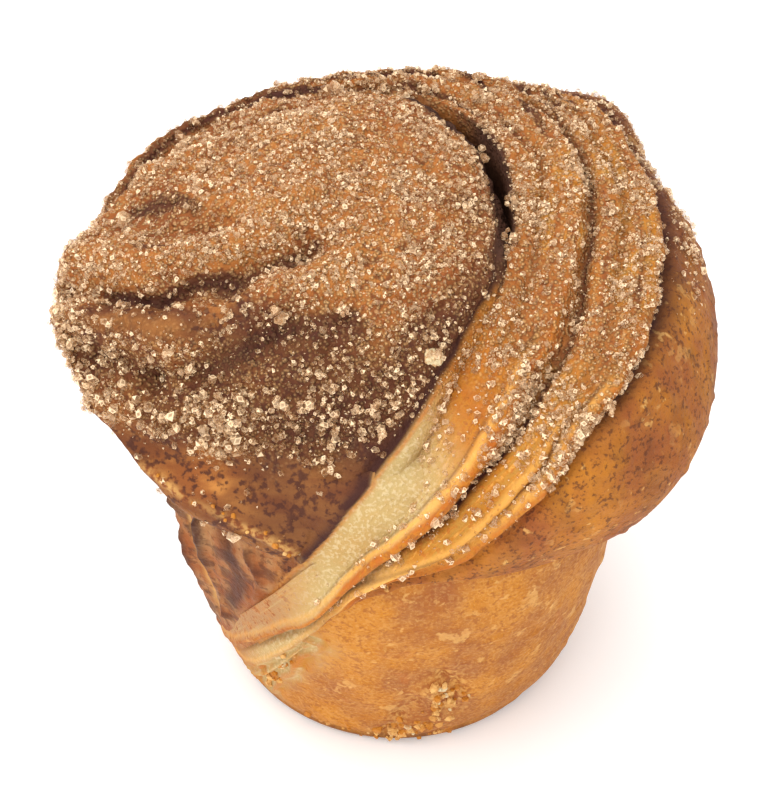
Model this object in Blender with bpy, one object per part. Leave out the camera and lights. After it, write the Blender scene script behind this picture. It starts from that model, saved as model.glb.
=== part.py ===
"""Cruffin: one coiled, layered and sugared pastry baked in a round cup mould."""

import math
import random

import bmesh
import bpy
import numpy as np

MM = 0.001
# Points closer than this are joined after the union, in metres.
WELD = 0.00001

# The box of the pastry is centred on the origin and rests on z = 0.
CENTRE_X = -0.14
CENTRE_Y = 4.49

# Cup: the moulded foot. Height and radius of its rings, in millimetres.
CUP_AXIS = (0.9, 0.5)
CUP_RINGS = (
    (0.0, 20.0),
    (0.35, 21.1),
    (2.0, 22.2),
    (10.0, 24.8),
    (20.0, 26.8),
    (30.0, 28.3),
    (38.0, 28.5),
    (45.0, 27.6),
    (50.0, 26.0),
    (53.0, 22.0),
    (54.4, 15.0),
)
CUP_TURN_STEPS = 64
CUP_HEIGHTS = (0.0, 0.35, 2.0, 5.5, 9.5, 13.5, 17.5, 21.5, 25.5, 29.5, 33.5, 38.0, 45.0, 50.0, 53.0, 54.4)

# Coil: the domed head. Turn angle about its own axis in degrees, then radius
# and height of its shoulder, waist and tuck, in millimetres.
COIL_AXIS = (-14.0, 4.0)
COIL_CROWN = 72.3
COIL_ROOT = (13.0, 38.0)
COIL_BOTTOM = 36.0
COIL_STATIONS = (
    (0, 20.0, 71.0, 27.0, 67.0, 27.2, 55.0),
    (25, 19.0, 71.5, 27.0, 68.0, 27.0, 56.0),
    (47, 19.0, 71.3, 28.0, 67.0, 27.5, 57.0),
    (75, 17.0, 70.5, 26.0, 66.0, 25.5, 57.0),
    (110, 14.0, 68.6, 22.6, 63.6, 23.0, 55.0),
    (140, 14.0, 67.6, 22.0, 61.8, 22.5, 54.0),
    (165, 17.0, 66.6, 23.6, 60.5, 23.0, 54.0),
    (185, 19.0, 66.0, 25.8, 60.0, 23.6, 54.0),
    (206, 19.0, 65.0, 25.8, 57.0, 25.0, 52.0),
    (218, 18.0, 65.0, 25.5, 54.4, 24.6, 49.8),
    (235, 18.0, 65.0, 24.9, 50.2, 24.4, 45.2),
    (255, 16.0, 66.0, 25.0, 48.5, 25.5, 42.0),
    (278, 15.0, 68.0, 26.4, 51.0, 28.8, 40.0),
    (302, 16.0, 69.5, 26.6, 59.2, 29.0, 50.0),
    (325, 18.0, 70.5, 26.5, 66.0, 27.0, 57.0),
    (345, 19.5, 71.0, 27.5, 67.5, 27.6, 55.0),
)
COIL_TURN_STEPS = 76
# The turns stand closer together where the folds run in at the left.
COIL_DENSE_AT = 208.0
COIL_DENSE_SPREAD = 34.0
COIL_DENSE_GAIN = 1.7
COIL_SHOWN_STEPS = 24
COIL_HIDDEN_STEPS = 3

# Folds of the coil: rise or sink, half width, then the line it follows.
COIL_FOLDS = (
    (-2.6, 1.9, ((-40, 0.5, 60.5), (-34, -4, 63.5), (-27, -6.6, 66), (-18.5, -6.2, 69), (-9, -2.6, 71.4))),
    (1.3, 2.0, ((-37, 1.8, 63.5), (-31, -0.6, 66), (-23, -1.8, 68.4), (-16, -0.6, 70.6), (-10, 4, 72))),
    (-1.7, 3.2, ((-30.5, 8.5, 66.5), (-26.5, 3.5, 68), (-21, 2.5, 70))),
    (1.0, 1.8, ((-29, 17, 64.5), (-23, 16, 67.5), (-16.5, 17.6, 69.4), (-9.6, 19, 71))),
    (-1.3, 1.1, ((-30, 20.5, 61), (-23, 19, 66), (-18, 19.6, 68), (-13, 22, 69.4), (-8, 27, 67.6))),
    (1.1, 2.6, ((-39.5, -1.5, 59.5), (-33, -6.5, 62), (-25, -10, 64.6))),
    (-2.4, 2.0, ((-37, -7.2, 57.5), (-32.7, -10.5, 58.3), (-28, -13, 58.8))),
    (-1.2, 1.8, ((-28, -13, 58.8), (-23, -14.2, 61), (-15, -13.2, 65), (-7, -10, 69))),
    (0.9, 2.8, ((-35, -12.5, 54.5), (-28, -15.6, 55.5), (-20, -17.5, 57))),
    (-0.8, 2.0, ((-32, -14.5, 52.4), (-26, -18, 50), (-16, -21, 51))),
    (0.5, 2.2, ((-28, -16, 46.5), (-21, -19.8, 44), (-12, -23.5, 42.0))),
    (-0.7, 1.5, ((2, 13, 71.4), (8, 5, 71), (9, -4, 69.4), (5, -11, 66.5))),
    (-0.6, 1.4, ((-5, 12, 72), (0, 2, 72), (-2, -8, 70), (-8, -16, 64))),
)

# Cut layers that show below the coil at the left of the cup.
CUP_FOLDS = (
    (-1.3, 0.9, ((-26.4, -9, 35), (-24.2, -9.6, 24), (-21.4, -9.8, 14))),
    (1.1, 1.1, ((-25.2, -12, 35.5), (-23.4, -12.4, 25), (-21, -12.6, 16.5))),
    (-1.5, 0.9, ((-22.8, -15.6, 36.5), (-21.4, -15.4, 27), (-19.8, -15.2, 19))),
    (1.0, 1.0, ((-19.6, -18.6, 37.5), (-19, -17.8, 30), (-18.4, -17.2, 24))),
    (-1.2, 0.8, ((-16, -21.4, 38), (-14.8, -22, 34), (-15.6, -20.9, 29.5))),
)
CUP_CRUST = (
    (0.9, 1.6, ((7.1, -25.4, 18.5), (8.8, -24.6, 14.4), (7.6, -23.4, 8.4))),
    (0.8, 1.4, ((2.6, -24.9, 12.1), (0.4, -22.6, 4.2))),
    (-0.7, 1.2, ((4.6, -25.6, 15.5), (5.6, -24.6, 10.0))),
)
CUP_LOBES = ((2, 0.35, 0.6), (3, 0.25, 2.1), (5, 0.18, 4.0))

# Wrap: the layered band round the coil. Azimuth in degrees, then radius and
# height of its inner lip, first fold, second fold, wall and lower lip.
WRAP_STATIONS = (
    (-165, 23.0, 9.5, 22.6, 7.0, 21.8, 5.0, 21.4, 4.4, 20.8, 3.8),
    (-145, 24.6, 16.0, 24.4, 12.0, 23.2, 7.5, 22.8, 6.2, 22.0, 5.0),
    (-132, 26.6, 24.5, 26.2, 19.0, 25.0, 13.0, 24.6, 11.2, 23.8, 9.2),
    (-120, 28.2, 33.5, 27.8, 26.5, 26.7, 21.0, 26.3, 19.4, 25.4, 17.6),
    (-110, 27.6, 40.5, 28.6, 32.0, 27.7, 28.3, 27.4, 27.2, 26.4, 25.6),
    (-100, 24.0, 43.6, 28.9, 39.6, 28.4, 36.2, 28.0, 35.2, 27.0, 33.8),
    (-88, 20.0, 49.6, 28.5, 47.0, 28.6, 41.8, 28.4, 40.6, 27.5, 38.8),
    (-75, 17.0, 56.5, 26.5, 51.5, 28.6, 43.6, 28.8, 41.5, 27.8, 39.2),
    (-62, 14.8, 60.0, 23.8, 55.5, 29.6, 49.0, 30.8, 43.8, 28.3, 38.0),
    (-46, 13.5, 63.0, 22.3, 60.2, 31.0, 58.5, 34.5, 46.5, 29.0, 36.0),
    (-28, 13.0, 65.5, 21.4, 63.6, 31.0, 62.5, 38.4, 47.0, 31.2, 34.8),
    (-5, 13.0, 67.0, 21.3, 66.0, 31.0, 64.2, 39.9, 50.5, 31.2, 33.4),
    (20, 15.6, 67.0, 23.5, 66.8, 33.3, 64.6, 40.2, 54.0, 31.0, 33.0),
    (35, 17.6, 67.4, 26.4, 67.0, 35.0, 64.0, 39.6, 56.0, 31.3, 34.0),
    (49, 20.6, 67.6, 29.6, 67.0, 38.2, 63.8, 43.4, 57.4, 31.5, 35.0),
    (64, 24.0, 67.6, 30.5, 67.0, 36.0, 64.2, 40.4, 57.0, 31.2, 37.0),
    (80, 27.5, 67.3, 30.8, 67.0, 34.8, 64.8, 39.0, 57.0, 31.0, 38.0),
    (104, 29.5, 66.3, 32.0, 66.3, 34.5, 64.3, 37.5, 56.5, 31.0, 40.0),
    (125, 32.5, 65.0, 34.0, 65.2, 35.8, 63.3, 37.5, 56.0, 31.0, 41.0),
    (148, 34.4, 63.6, 36.0, 63.8, 37.6, 61.8, 37.8, 55.0, 31.0, 43.0),
    (165, 34.0, 61.2, 35.6, 61.4, 36.6, 59.4, 36.0, 54.0, 29.5, 45.5),
    (185, 29.0, 57.0, 30.0, 57.2, 31.0, 56.0, 30.6, 53.0, 26.0, 48.0),
)
WRAP_TURN_STEPS = 84
# Places along the section: 0 inner lip, 1 first fold, 2 second fold, 3 wall,
# 4 lower lip, 5 and 6 inside the pastry, then back to the inner lip.
WRAP_SECTION = (
    0.0, 0.3, 0.5, 0.72, 0.92, 1.02, 1.12, 1.24, 1.45, 1.7, 1.9, 2.0, 2.08, 2.2,
    2.45, 2.7, 3.0, 3.4, 3.75, 4.0, 4.6, 5.2, 6.0, 6.6,
)
# Fold reliefs by azimuth: crest and crease of the first fold, crest and
# crease of the second, and the fine furrows between them, in millimetres.
WRAP_RELIEF = (
    (-165, 0.3, 0.4, 0.2, 0.2, 0.0),
    (-130, 0.5, 0.8, 0.4, 0.4, 0.0),
    (-100, 0.7, 1.2, 0.5, 0.6, 0.0),
    (-80, 0.9, 1.5, 0.8, 1.0, 0.0),
    (-55, 1.0, 1.7, 1.0, 1.3, 0.1),
    (-25, 0.7, 1.6, 0.9, 1.3, 0.5),
    (20, 0.6, 1.3, 0.8, 1.3, 0.7),
    (60, 0.5, 0.9, 0.6, 0.8, 0.6),
    (110, 0.5, 0.8, 0.3, 0.3, 0.3),
    (160, 0.4, 0.5, 0.2, 0.2, 0.2),
    (185, 0.2, 0.2, 0.1, 0.1, 0.0),
)
CREST_WIDTH = 1.1
CREASE_OFFSET = 1.9
CREASE_WIDTH = 0.9
FURROW_WIDTH = 0.9

# Clumps of coarse sugar: how many, their half sizes and the random seed.
SUGAR_CLUMPS = 48
SUGAR_SMALL = 0.65
SUGAR_LARGE = 1.25
SUGAR_SEED = 10

CRUST_COLOUR = (0.42, 0.19, 0.06, 1.0)


def ease(low, high, x):
    """Smooth step from 0 at low to 1 at high."""
    t = np.clip((np.asarray(x, float) - low) / (high - low), 0.0, 1.0)
    return t * t * (3.0 - 2.0 * t)


def through(knots, values, at):
    """Smooth curve through the values at the knots (cubic Hermite)."""
    knots = np.asarray(knots, float)
    values = np.asarray(values, float)
    at = np.asarray(at, float)
    gaps = np.diff(knots)
    slopes = np.diff(values, axis=0) / gaps.reshape((-1,) + (1,) * (values.ndim - 1))
    tangents = np.empty_like(values)
    tangents[0] = slopes[0]
    tangents[-1] = slopes[-1]
    before = gaps[:-1].reshape((-1,) + (1,) * (values.ndim - 1))
    after = gaps[1:].reshape((-1,) + (1,) * (values.ndim - 1))
    tangents[1:-1] = (slopes[:-1] * after + slopes[1:] * before) / (before + after)
    k = np.clip(np.searchsorted(knots, at, side="right") - 1, 0, len(gaps) - 1)
    h = gaps[k]
    t = (at - knots[k]) / h
    shape = (-1,) + (1,) * (values.ndim - 1)
    t = t.reshape(shape)
    h = h.reshape(shape)
    t2 = t * t
    t3 = t2 * t
    return (
        (2 * t3 - 3 * t2 + 1) * values[k]
        + (t3 - 2 * t2 + t) * h * tangents[k]
        + (3 * t2 - 2 * t3) * values[k + 1]
        + (t3 - t2) * h * tangents[k + 1]
    )


def round_table(stations, at):
    """Stations that repeat every 360 degrees, read at the angles."""
    rows = np.array(stations, float)
    count = len(rows)
    wide = np.vstack([rows, rows, rows])
    wide[:count, 0] -= 360.0
    wide[2 * count:, 0] += 360.0
    return through(wide[:, 0], wide[:, 1:], np.mod(at, 360.0))


def outward(grid, closed):
    """Unit normals of a grid of points, by differences along both ways."""
    if closed:
        along = np.roll(grid, -1, axis=0) - np.roll(grid, 1, axis=0)
    else:
        along = np.gradient(grid, axis=0)
    across = np.gradient(grid, axis=1)
    normal = np.cross(across, along)
    length = np.linalg.norm(normal, axis=2, keepdims=True)
    return normal / np.maximum(length, 1e-9)


def line_distance(points, line):
    """Distance of each point from a line of straight runs."""
    line = np.asarray(line, float)
    best = np.full(points.shape[:-1], 1e9)
    for start, end in zip(line[:-1], line[1:]):
        run = end - start
        t = np.clip(((points - start) @ run) / (run @ run), 0.0, 1.0)
        gap = np.linalg.norm(points - start - t[..., None] * run, axis=-1)
        best = np.minimum(best, gap)
    return best


def fold_relief(points, folds):
    """Rise of the surface that the folds give at each point."""
    rise = np.zeros(points.shape[:-1])
    for height, width, line in folds:
        rise += height * np.exp(-((line_distance(points, line) / width) ** 2))
    return rise


def coil_falls(shown, hidden):
    """Places down the head: even as far as the tuck, sparser under it."""
    top = np.linspace(0.0, 3.4, shown + 1)[1:]
    under = np.linspace(3.4, 5.0, hidden + 2)[1:-1]
    return np.concatenate([top, under])


def coil_angles(turns):
    """Turn angles, closer together where the folds run in."""
    fine = np.linspace(0.0, 360.0, 3601)
    near = np.exp(-(((fine - COIL_DENSE_AT) / COIL_DENSE_SPREAD) ** 2))
    total = np.concatenate([[0.0], np.cumsum(1.0 + COIL_DENSE_GAIN * near[1:])])
    return np.interp(np.arange(turns) * total[-1] / turns, total, fine)


def coil_points(turns, fall):
    """Plain head: a grid of points, turn by place, from crown to bottom."""
    angles = coil_angles(turns)
    table = round_table(COIL_STATIONS, angles)
    grid = np.empty((turns, len(fall), 3))
    for i, angle in enumerate(angles):
        s_r, s_z, w_r, w_z, t_r, t_z = table[i]
        profile = [
            (0.0, COIL_CROWN),
            (s_r, s_z),
            (w_r, w_z),
            (t_r, t_z),
            COIL_ROOT,
            (0.0, COIL_BOTTOM),
        ]
        rz = through(np.arange(6.0), profile, fall)
        a = math.radians(angle)
        grid[i, :, 0] = COIL_AXIS[0] + rz[:, 0] * math.cos(a)
        grid[i, :, 1] = COIL_AXIS[1] + rz[:, 0] * math.sin(a)
        grid[i, :, 2] = rz[:, 1]
    return grid


def wrap_relief(angle, section, places):
    """Rise along one section: crests, creases and furrows of the layers."""
    rows = np.array(WRAP_RELIEF, float)
    crest_1, crease_1, crest_2, crease_2, furrow = through(rows[:, 0], rows[:, 1:], np.array([angle]))[0]
    run = np.concatenate([[0.0], np.cumsum(np.linalg.norm(np.diff(section, axis=0), axis=1))])
    rise = np.zeros(len(places))
    for place, crest, crease in ((1.0, crest_1, crease_1), (2.0, crest_2, crease_2)):
        d = run - np.interp(place, places, run)
        rise += crest * np.exp(-((d / CREST_WIDTH) ** 2))
        rise -= crease * np.exp(-(((d - CREASE_OFFSET) / CREASE_WIDTH) ** 2))
    for place in (0.5, 1.6):
        d = run - np.interp(place, places, run)
        rise -= furrow * np.exp(-((d / FURROW_WIDTH) ** 2))
    return np.where(places > 3.6, 0.0, rise)


def wrap_points(turns, places):
    """Band with its folds: a grid of points, azimuth by section place."""
    rows = np.array(WRAP_STATIONS, float)
    angles = np.linspace(rows[0, 0], rows[-1, 0], turns)
    table = through(rows[:, 0], rows[:, 1:], angles)
    places = np.asarray(places, float)
    grid = np.empty((turns, len(places), 3))
    for i, angle in enumerate(angles):
        v = table[i].reshape(5, 2)
        inner = v[0]
        lip = v[4]
        high = float(ease(-112.0, -86.0, angle) * (1.0 - ease(66.0, 92.0, angle)))
        foot = (lip[0] - 4.0, lip[1] + 2.5 * high)
        root = (inner[0] - 5.0 + 5.4 * high, inner[1] - 4.0 - 12.0 * high)
        ring = np.vstack([v, foot, root, inner])
        rz = through(np.arange(8.0), ring, places)
        way = np.gradient(rz, axis=0)
        way /= np.linalg.norm(way, axis=1)[:, None]
        rise = wrap_relief(angle, rz, places)
        rz[:, 0] -= way[:, 1] * rise
        rz[:, 1] += way[:, 0] * rise
        a = math.radians(angle)
        grid[i, :, 0] = rz[:, 0] * math.cos(a)
        grid[i, :, 1] = rz[:, 0] * math.sin(a)
        grid[i, :, 2] = rz[:, 1]
    return grid


def cup_points(turns, heights):
    """Plain foot: a grid of points, turn by height."""
    rows = np.array(CUP_RINGS, float)
    heights = np.asarray(heights, float)
    radii = through(rows[:, 0], rows[:, 1:], heights)[:, 0]
    a = np.arange(turns) * 2.0 * math.pi / turns
    lobes = sum(rise * np.cos(count * a + turn) for count, rise, turn in CUP_LOBES)
    radius = radii[None, :] + lobes[:, None] * ease(0.5, 8.0, heights)[None, :]
    grid = np.empty((turns, len(heights), 3))
    grid[:, :, 0] = CUP_AXIS[0] + np.cos(a)[:, None] * radius
    grid[:, :, 1] = CUP_AXIS[1] + np.sin(a)[:, None] * radius
    grid[:, :, 2] = heights[None, :]
    return grid


def object_from(name, points, faces):
    """A mesh object from points in millimetres."""
    scaled = (np.asarray(points) - [CENTRE_X, CENTRE_Y, 0.0]) * MM
    mesh = bpy.data.meshes.new(name)
    mesh.from_pydata(scaled.tolist(), [], faces)
    work = bmesh.new()
    work.from_mesh(mesh)
    bmesh.ops.recalc_face_normals(work, faces=work.faces[:])
    work.to_mesh(mesh)
    work.free()
    body = bpy.data.objects.new(name, mesh)
    bpy.context.scene.collection.objects.link(body)
    return body


def shell_faces(turns, falls, first, last):
    """Faces of a grid closed round its turn, with a pole at each end."""
    faces = []
    for i in range(turns):
        n = (i + 1) % turns
        for j in range(falls - 1):
            faces.append((i * falls + j, n * falls + j, n * falls + j + 1, i * falls + j + 1))
        faces.append((first, n * falls, i * falls))
        faces.append((last, i * falls + falls - 1, n * falls + falls - 1))
    return faces


def sweep_faces(turns, steps):
    """Faces of a closed section swept along, with its two ends closed."""
    faces = []
    for i in range(turns - 1):
        for j in range(steps):
            n = (j + 1) % steps
            faces.append((i * steps + j, (i + 1) * steps + j, (i + 1) * steps + n, i * steps + n))
    faces.append(tuple(range(steps)))
    faces.append(tuple(reversed(range((turns - 1) * steps, turns * steps))))
    return faces


def coil_surface():
    """Head with its folds."""
    grid = coil_points(COIL_TURN_STEPS, coil_falls(COIL_SHOWN_STEPS, COIL_HIDDEN_STEPS))
    normal = outward(grid, True)
    return grid + normal * fold_relief(grid, COIL_FOLDS)[..., None]


def cup_surface(turns, heights):
    """Foot with the cut layers and crusty patches on its side."""
    grid = cup_points(turns, heights)
    normal = outward(grid, True)
    normal[..., 2] = 0.0
    rise = fold_relief(grid, CUP_FOLDS) + fold_relief(grid, CUP_CRUST)
    rise *= ease(0.3, 2.5, grid[..., 2])
    return grid + normal * rise[..., None]


def make_coil():
    grid = coil_surface()
    turns, falls = grid.shape[:2]
    crown = grid[:, 0].mean(axis=0) + [0.0, 0.0, 0.1]
    bottom = (COIL_AXIS[0], COIL_AXIS[1], COIL_BOTTOM)
    points = np.vstack([grid.reshape(-1, 3), crown, bottom])
    count = turns * falls
    return object_from("coil", points, shell_faces(turns, falls, count, count + 1))


def make_wrap():
    grid = wrap_points(WRAP_TURN_STEPS, WRAP_SECTION)
    turns, steps = grid.shape[:2]
    return object_from("wrap", grid.reshape(-1, 3), sweep_faces(turns, steps))


def make_cup():
    grid = cup_surface(CUP_TURN_STEPS, CUP_HEIGHTS)
    turns, falls = grid.shape[:2]
    faces = []
    for i in range(turns):
        n = (i + 1) % turns
        for j in range(falls - 1):
            faces.append((i * falls + j, n * falls + j, n * falls + j + 1, i * falls + j + 1))
    faces.append(tuple(i * falls for i in reversed(range(turns))))
    faces.append(tuple(i * falls + falls - 1 for i in range(turns)))
    return object_from("cup", grid.reshape(-1, 3), faces)


def sugar_places(count):
    """Seats of the sugar clumps: place, outward direction and half size."""
    rng = random.Random(SUGAR_SEED)
    coil = coil_surface()
    wrap = wrap_points(WRAP_TURN_STEPS, WRAP_SECTION)
    coil_normal = outward(coil, True)
    wrap_normal = outward(wrap, False)
    seats = []
    while len(seats) < count:
        if rng.random() < 0.66:
            i = rng.randrange(coil.shape[0])
            j = int(COIL_SHOWN_STEPS * 0.75 * math.sqrt(rng.random()))
            point, normal = coil[i, j], coil_normal[i, j]
            sugared = point[2] > 53.0
        else:
            i = rng.randrange(wrap.shape[0])
            j = rng.randrange(12)
            point, normal = wrap[i, j], wrap_normal[i, j]
            sugared = point[2] > 60.5 and normal[2] > 0.5
        size = rng.uniform(SUGAR_SMALL, SUGAR_LARGE)
        if normal[2] < 0.0:
            continue
        clear = all(np.linalg.norm(point - seat[0]) > 3.0 for seat in seats)
        if sugared and clear:
            seats.append((point, normal, size))
    return seats


def make_clumps(group):
    """Rough grains, each a small twenty-sided lump sunk by a third."""
    rng = random.Random(SUGAR_SEED + 1)
    for number, (point, normal, size) in enumerate(sugar_places(SUGAR_CLUMPS)):
        work = bmesh.new()
        bmesh.ops.create_icosphere(work, subdivisions=1, radius=1.0)
        for vertex in work.verts:
            grow = size * rng.uniform(0.82, 1.12)
            at = np.array(vertex.co) * grow + point + normal * size * 0.3
            vertex.co = (at - [CENTRE_X, CENTRE_Y, 0.0]) * MM
        mesh = bpy.data.meshes.new(f"sugar_{number}")
        work.to_mesh(mesh)
        work.free()
        lump = bpy.data.objects.new(f"sugar_{number}", mesh)
        group.objects.link(lump)


def fuse(base, group):
    """One union of the base with everything in the group, applied."""
    union = base.modifiers.new("union", "BOOLEAN")
    union.operation = "UNION"
    union.operand_type = "COLLECTION"
    union.solver = "MANIFOLD"
    union.collection = group
    bpy.context.view_layer.update()
    graph = bpy.context.evaluated_depsgraph_get()
    mesh = bpy.data.meshes.new_from_object(base.evaluated_get(graph))
    base.modifiers.clear()
    base.data = mesh
    for piece in list(group.objects):
        bpy.data.objects.remove(piece)
    bpy.data.collections.remove(group)


def keep_largest(body):
    """Keep the outer skin only, so sealed hollows fill and scraps go."""
    work = bmesh.new()
    work.from_mesh(body.data)
    left = set(work.verts)
    skins = []
    while left:
        seed = left.pop()
        skin = {seed}
        edge = [seed]
        while edge:
            vertex = edge.pop()
            for link in vertex.link_edges:
                other = link.other_vert(vertex)
                if other in left:
                    left.remove(other)
                    skin.add(other)
                    edge.append(other)
        skins.append(skin)
    skins.sort(key=len, reverse=True)
    for skin in skins[1:]:
        bmesh.ops.delete(work, geom=list(skin), context="VERTS")
    bmesh.ops.remove_doubles(work, verts=work.verts[:], dist=WELD)
    bmesh.ops.dissolve_degenerate(work, edges=work.edges[:], dist=WELD)
    bmesh.ops.triangulate(work, faces=[face for face in work.faces if len(face.verts) > 4])
    work.to_mesh(body.data)
    work.free()


def crust_material():
    material = bpy.data.materials.new("baked_crust")
    material.use_nodes = True
    shader = material.node_tree.nodes["Principled BSDF"]
    shader.inputs["Base Color"].default_value = CRUST_COLOUR
    shader.inputs["Roughness"].default_value = 0.7
    return material


def main():
    for old in list(bpy.data.objects):
        bpy.data.objects.remove(old)
    body = make_cup()
    group = bpy.data.collections.new("pieces")
    bpy.context.scene.collection.children.link(group)
    for piece in (make_coil(), make_wrap()):
        bpy.context.scene.collection.objects.unlink(piece)
        group.objects.link(piece)
    make_clumps(group)
    fuse(body, group)
    keep_largest(body)
    body.name = "cruffin"
    body.data.name = "cruffin"
    body.data.materials.clear()
    body.data.materials.append(crust_material())
    body.data.shade_smooth()


main()
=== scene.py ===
"""Looks of the cruffin: crust, cut layers, sugar crystals, crumbs, floor and light."""

import math
import random

import bpy
import numpy as np
from bpy.props import FloatProperty, FloatVectorProperty, IntProperty, PointerProperty
from bpy.types import Operator, Panel, PropertyGroup
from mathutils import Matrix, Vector
from numpy.linalg import norm as length


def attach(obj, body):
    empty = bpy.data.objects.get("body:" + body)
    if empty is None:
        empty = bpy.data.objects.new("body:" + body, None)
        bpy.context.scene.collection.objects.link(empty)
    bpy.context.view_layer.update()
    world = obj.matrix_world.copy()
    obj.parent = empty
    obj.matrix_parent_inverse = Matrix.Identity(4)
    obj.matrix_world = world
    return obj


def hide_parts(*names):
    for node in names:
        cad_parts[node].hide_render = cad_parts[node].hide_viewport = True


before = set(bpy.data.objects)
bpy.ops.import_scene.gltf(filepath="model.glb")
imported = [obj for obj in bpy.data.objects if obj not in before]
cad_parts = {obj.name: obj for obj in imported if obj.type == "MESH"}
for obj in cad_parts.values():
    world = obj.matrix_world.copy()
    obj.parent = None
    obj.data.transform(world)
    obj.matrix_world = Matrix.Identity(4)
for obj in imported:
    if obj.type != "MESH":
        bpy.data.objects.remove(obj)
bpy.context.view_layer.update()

bl_info = {
    "name": "Cruffin",
    "version": (1, 0, 0),
    "blender": (4, 5, 0),
    "location": "View3D > Sidebar > Cruffin",
    "description": "Dresses a coiled, layered and sugared pastry",
    "category": "Mesh",
}

MM = 0.001
TINY = 1e-9
NODE = "cruffin"
BODY = "root"

# The forms below are in millimetres about the fitting axis, and this is
# where the frame's origin stands on that axis.
CENTRE = np.array([-0.14, 4.49, 0.0])

# Cup: height and radius of its rings.
CUP_AXIS = (0.9, 0.5)
CUP_RINGS = (
    (0, 20),
    (0.35, 21.1),
    (2, 22.2),
    (10, 24.8),
    (20, 26.8),
    (30, 28.3),
    (38, 28.5),
    (45, 27.6),
    (50, 26),
    (53, 22),
    (54.4, 15),
)
CUP_LOBES = ((2, 0.35, 0.6), (3, 0.25, 2.1), (5, 0.18, 4))
CUP_FOLDS = (
    (-1.3, 0.9, ((-26.4, -9, 35), (-24.2, -9.6, 24), (-21.4, -9.8, 14))),
    (1.1, 1.1, ((-25.2, -12, 35.5), (-23.4, -12.4, 25), (-21, -12.6, 16.5))),
    (-1.5, 0.9, ((-22.8, -15.6, 36.5), (-21.4, -15.4, 27), (-19.8, -15.2, 19))),
    (1, 1, ((-19.6, -18.6, 37.5), (-19, -17.8, 30), (-18.4, -17.2, 24))),
    (-1.2, 0.8, ((-16, -21.4, 38), (-14.8, -22, 34), (-15.6, -20.9, 29.5))),
)
CUP_CRUST = (
    (0.9, 1.6, ((7.1, -25.4, 18.5), (8.8, -24.6, 14.4), (7.6, -23.4, 8.4))),
    (0.8, 1.4, ((2.6, -24.9, 12.1), (0.4, -22.6, 4.2))),
    (-0.7, 1.2, ((4.6, -25.6, 15.5), (5.6, -24.6, 10))),
)

# Coil: turn angle, then radius and height of its shoulder, waist and tuck.
COIL_AXIS = (-14, 4)
COIL_CROWN = 72.3
COIL_ROOT = (13, 38)
COIL_BOTTOM = 36.0
COIL_STATIONS = (
    (0, 20, 71, 27, 67, 27.2, 55),
    (25, 19, 71.5, 27, 68, 27, 56),
    (47, 19, 71.3, 28, 67, 27.5, 57),
    (75, 17, 70.5, 26, 66, 25.5, 57),
    (110, 14, 68.6, 22.6, 63.6, 23, 55),
    (140, 14, 67.6, 22, 61.8, 22.5, 54),
    (165, 17, 66.6, 23.6, 60.5, 23, 54),
    (185, 19, 66, 25.8, 60, 23.6, 54),
    (206, 19, 65, 25.8, 57, 25, 52),
    (218, 18, 65, 25.5, 54.4, 24.6, 49.8),
    (235, 18, 65, 24.9, 50.2, 24.4, 45.2),
    (255, 16, 66, 25, 48.5, 25.5, 42),
    (278, 15, 68, 26.4, 51, 28.8, 40),
    (302, 16, 69.5, 26.6, 59.2, 29, 50),
    (325, 18, 70.5, 26.5, 66, 27, 57),
    (345, 19.5, 71, 27.5, 67.5, 27.6, 55),
)
COIL_DENSE_AT = 208.0
COIL_DENSE_SPREAD = 34.0
COIL_DENSE_GAIN = 1.7
COIL_FOLDS = (
    (-2.6, 1.9, ((-40, 0.5, 60.5), (-34, -4, 63.5), (-27, -6.6, 66), (-18.5, -6.2, 69), (-9, -2.6, 71.4))),
    (1.3, 2, ((-37, 1.8, 63.5), (-31, -0.6, 66), (-23, -1.8, 68.4), (-16, -0.6, 70.6), (-10, 4, 72))),
    (-1.7, 3.2, ((-30.5, 8.5, 66.5), (-26.5, 3.5, 68), (-21, 2.5, 70))),
    (1, 1.8, ((-29, 17, 64.5), (-23, 16, 67.5), (-16.5, 17.6, 69.4), (-9.6, 19, 71))),
    (-1.3, 1.1, ((-30, 20.5, 61), (-23, 19, 66), (-18, 19.6, 68), (-13, 22, 69.4), (-8, 27, 67.6))),
    (1.1, 2.6, ((-39.5, -1.5, 59.5), (-33, -6.5, 62), (-25, -10, 64.6))),
    (-2.4, 2, ((-37, -7.2, 57.5), (-32.7, -10.5, 58.3), (-28, -13, 58.8))),
    (-1.2, 1.8, ((-28, -13, 58.8), (-23, -14.2, 61), (-15, -13.2, 65), (-7, -10, 69))),
    (0.9, 2.8, ((-35, -12.5, 54.5), (-28, -15.6, 55.5), (-20, -17.5, 57))),
    (-0.8, 2, ((-32, -14.5, 52.4), (-26, -18, 50), (-16, -21, 51))),
    (0.5, 2.2, ((-28, -16, 46.5), (-21, -19.8, 44), (-12, -23.5, 42))),
    (-0.7, 1.5, ((2, 13, 71.4), (8, 5, 71), (9, -4, 69.4), (5, -11, 66.5))),
    (-0.6, 1.4, ((-5, 12, 72), (0, 2, 72), (-2, -8, 70), (-8, -16, 64))),
)

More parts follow.
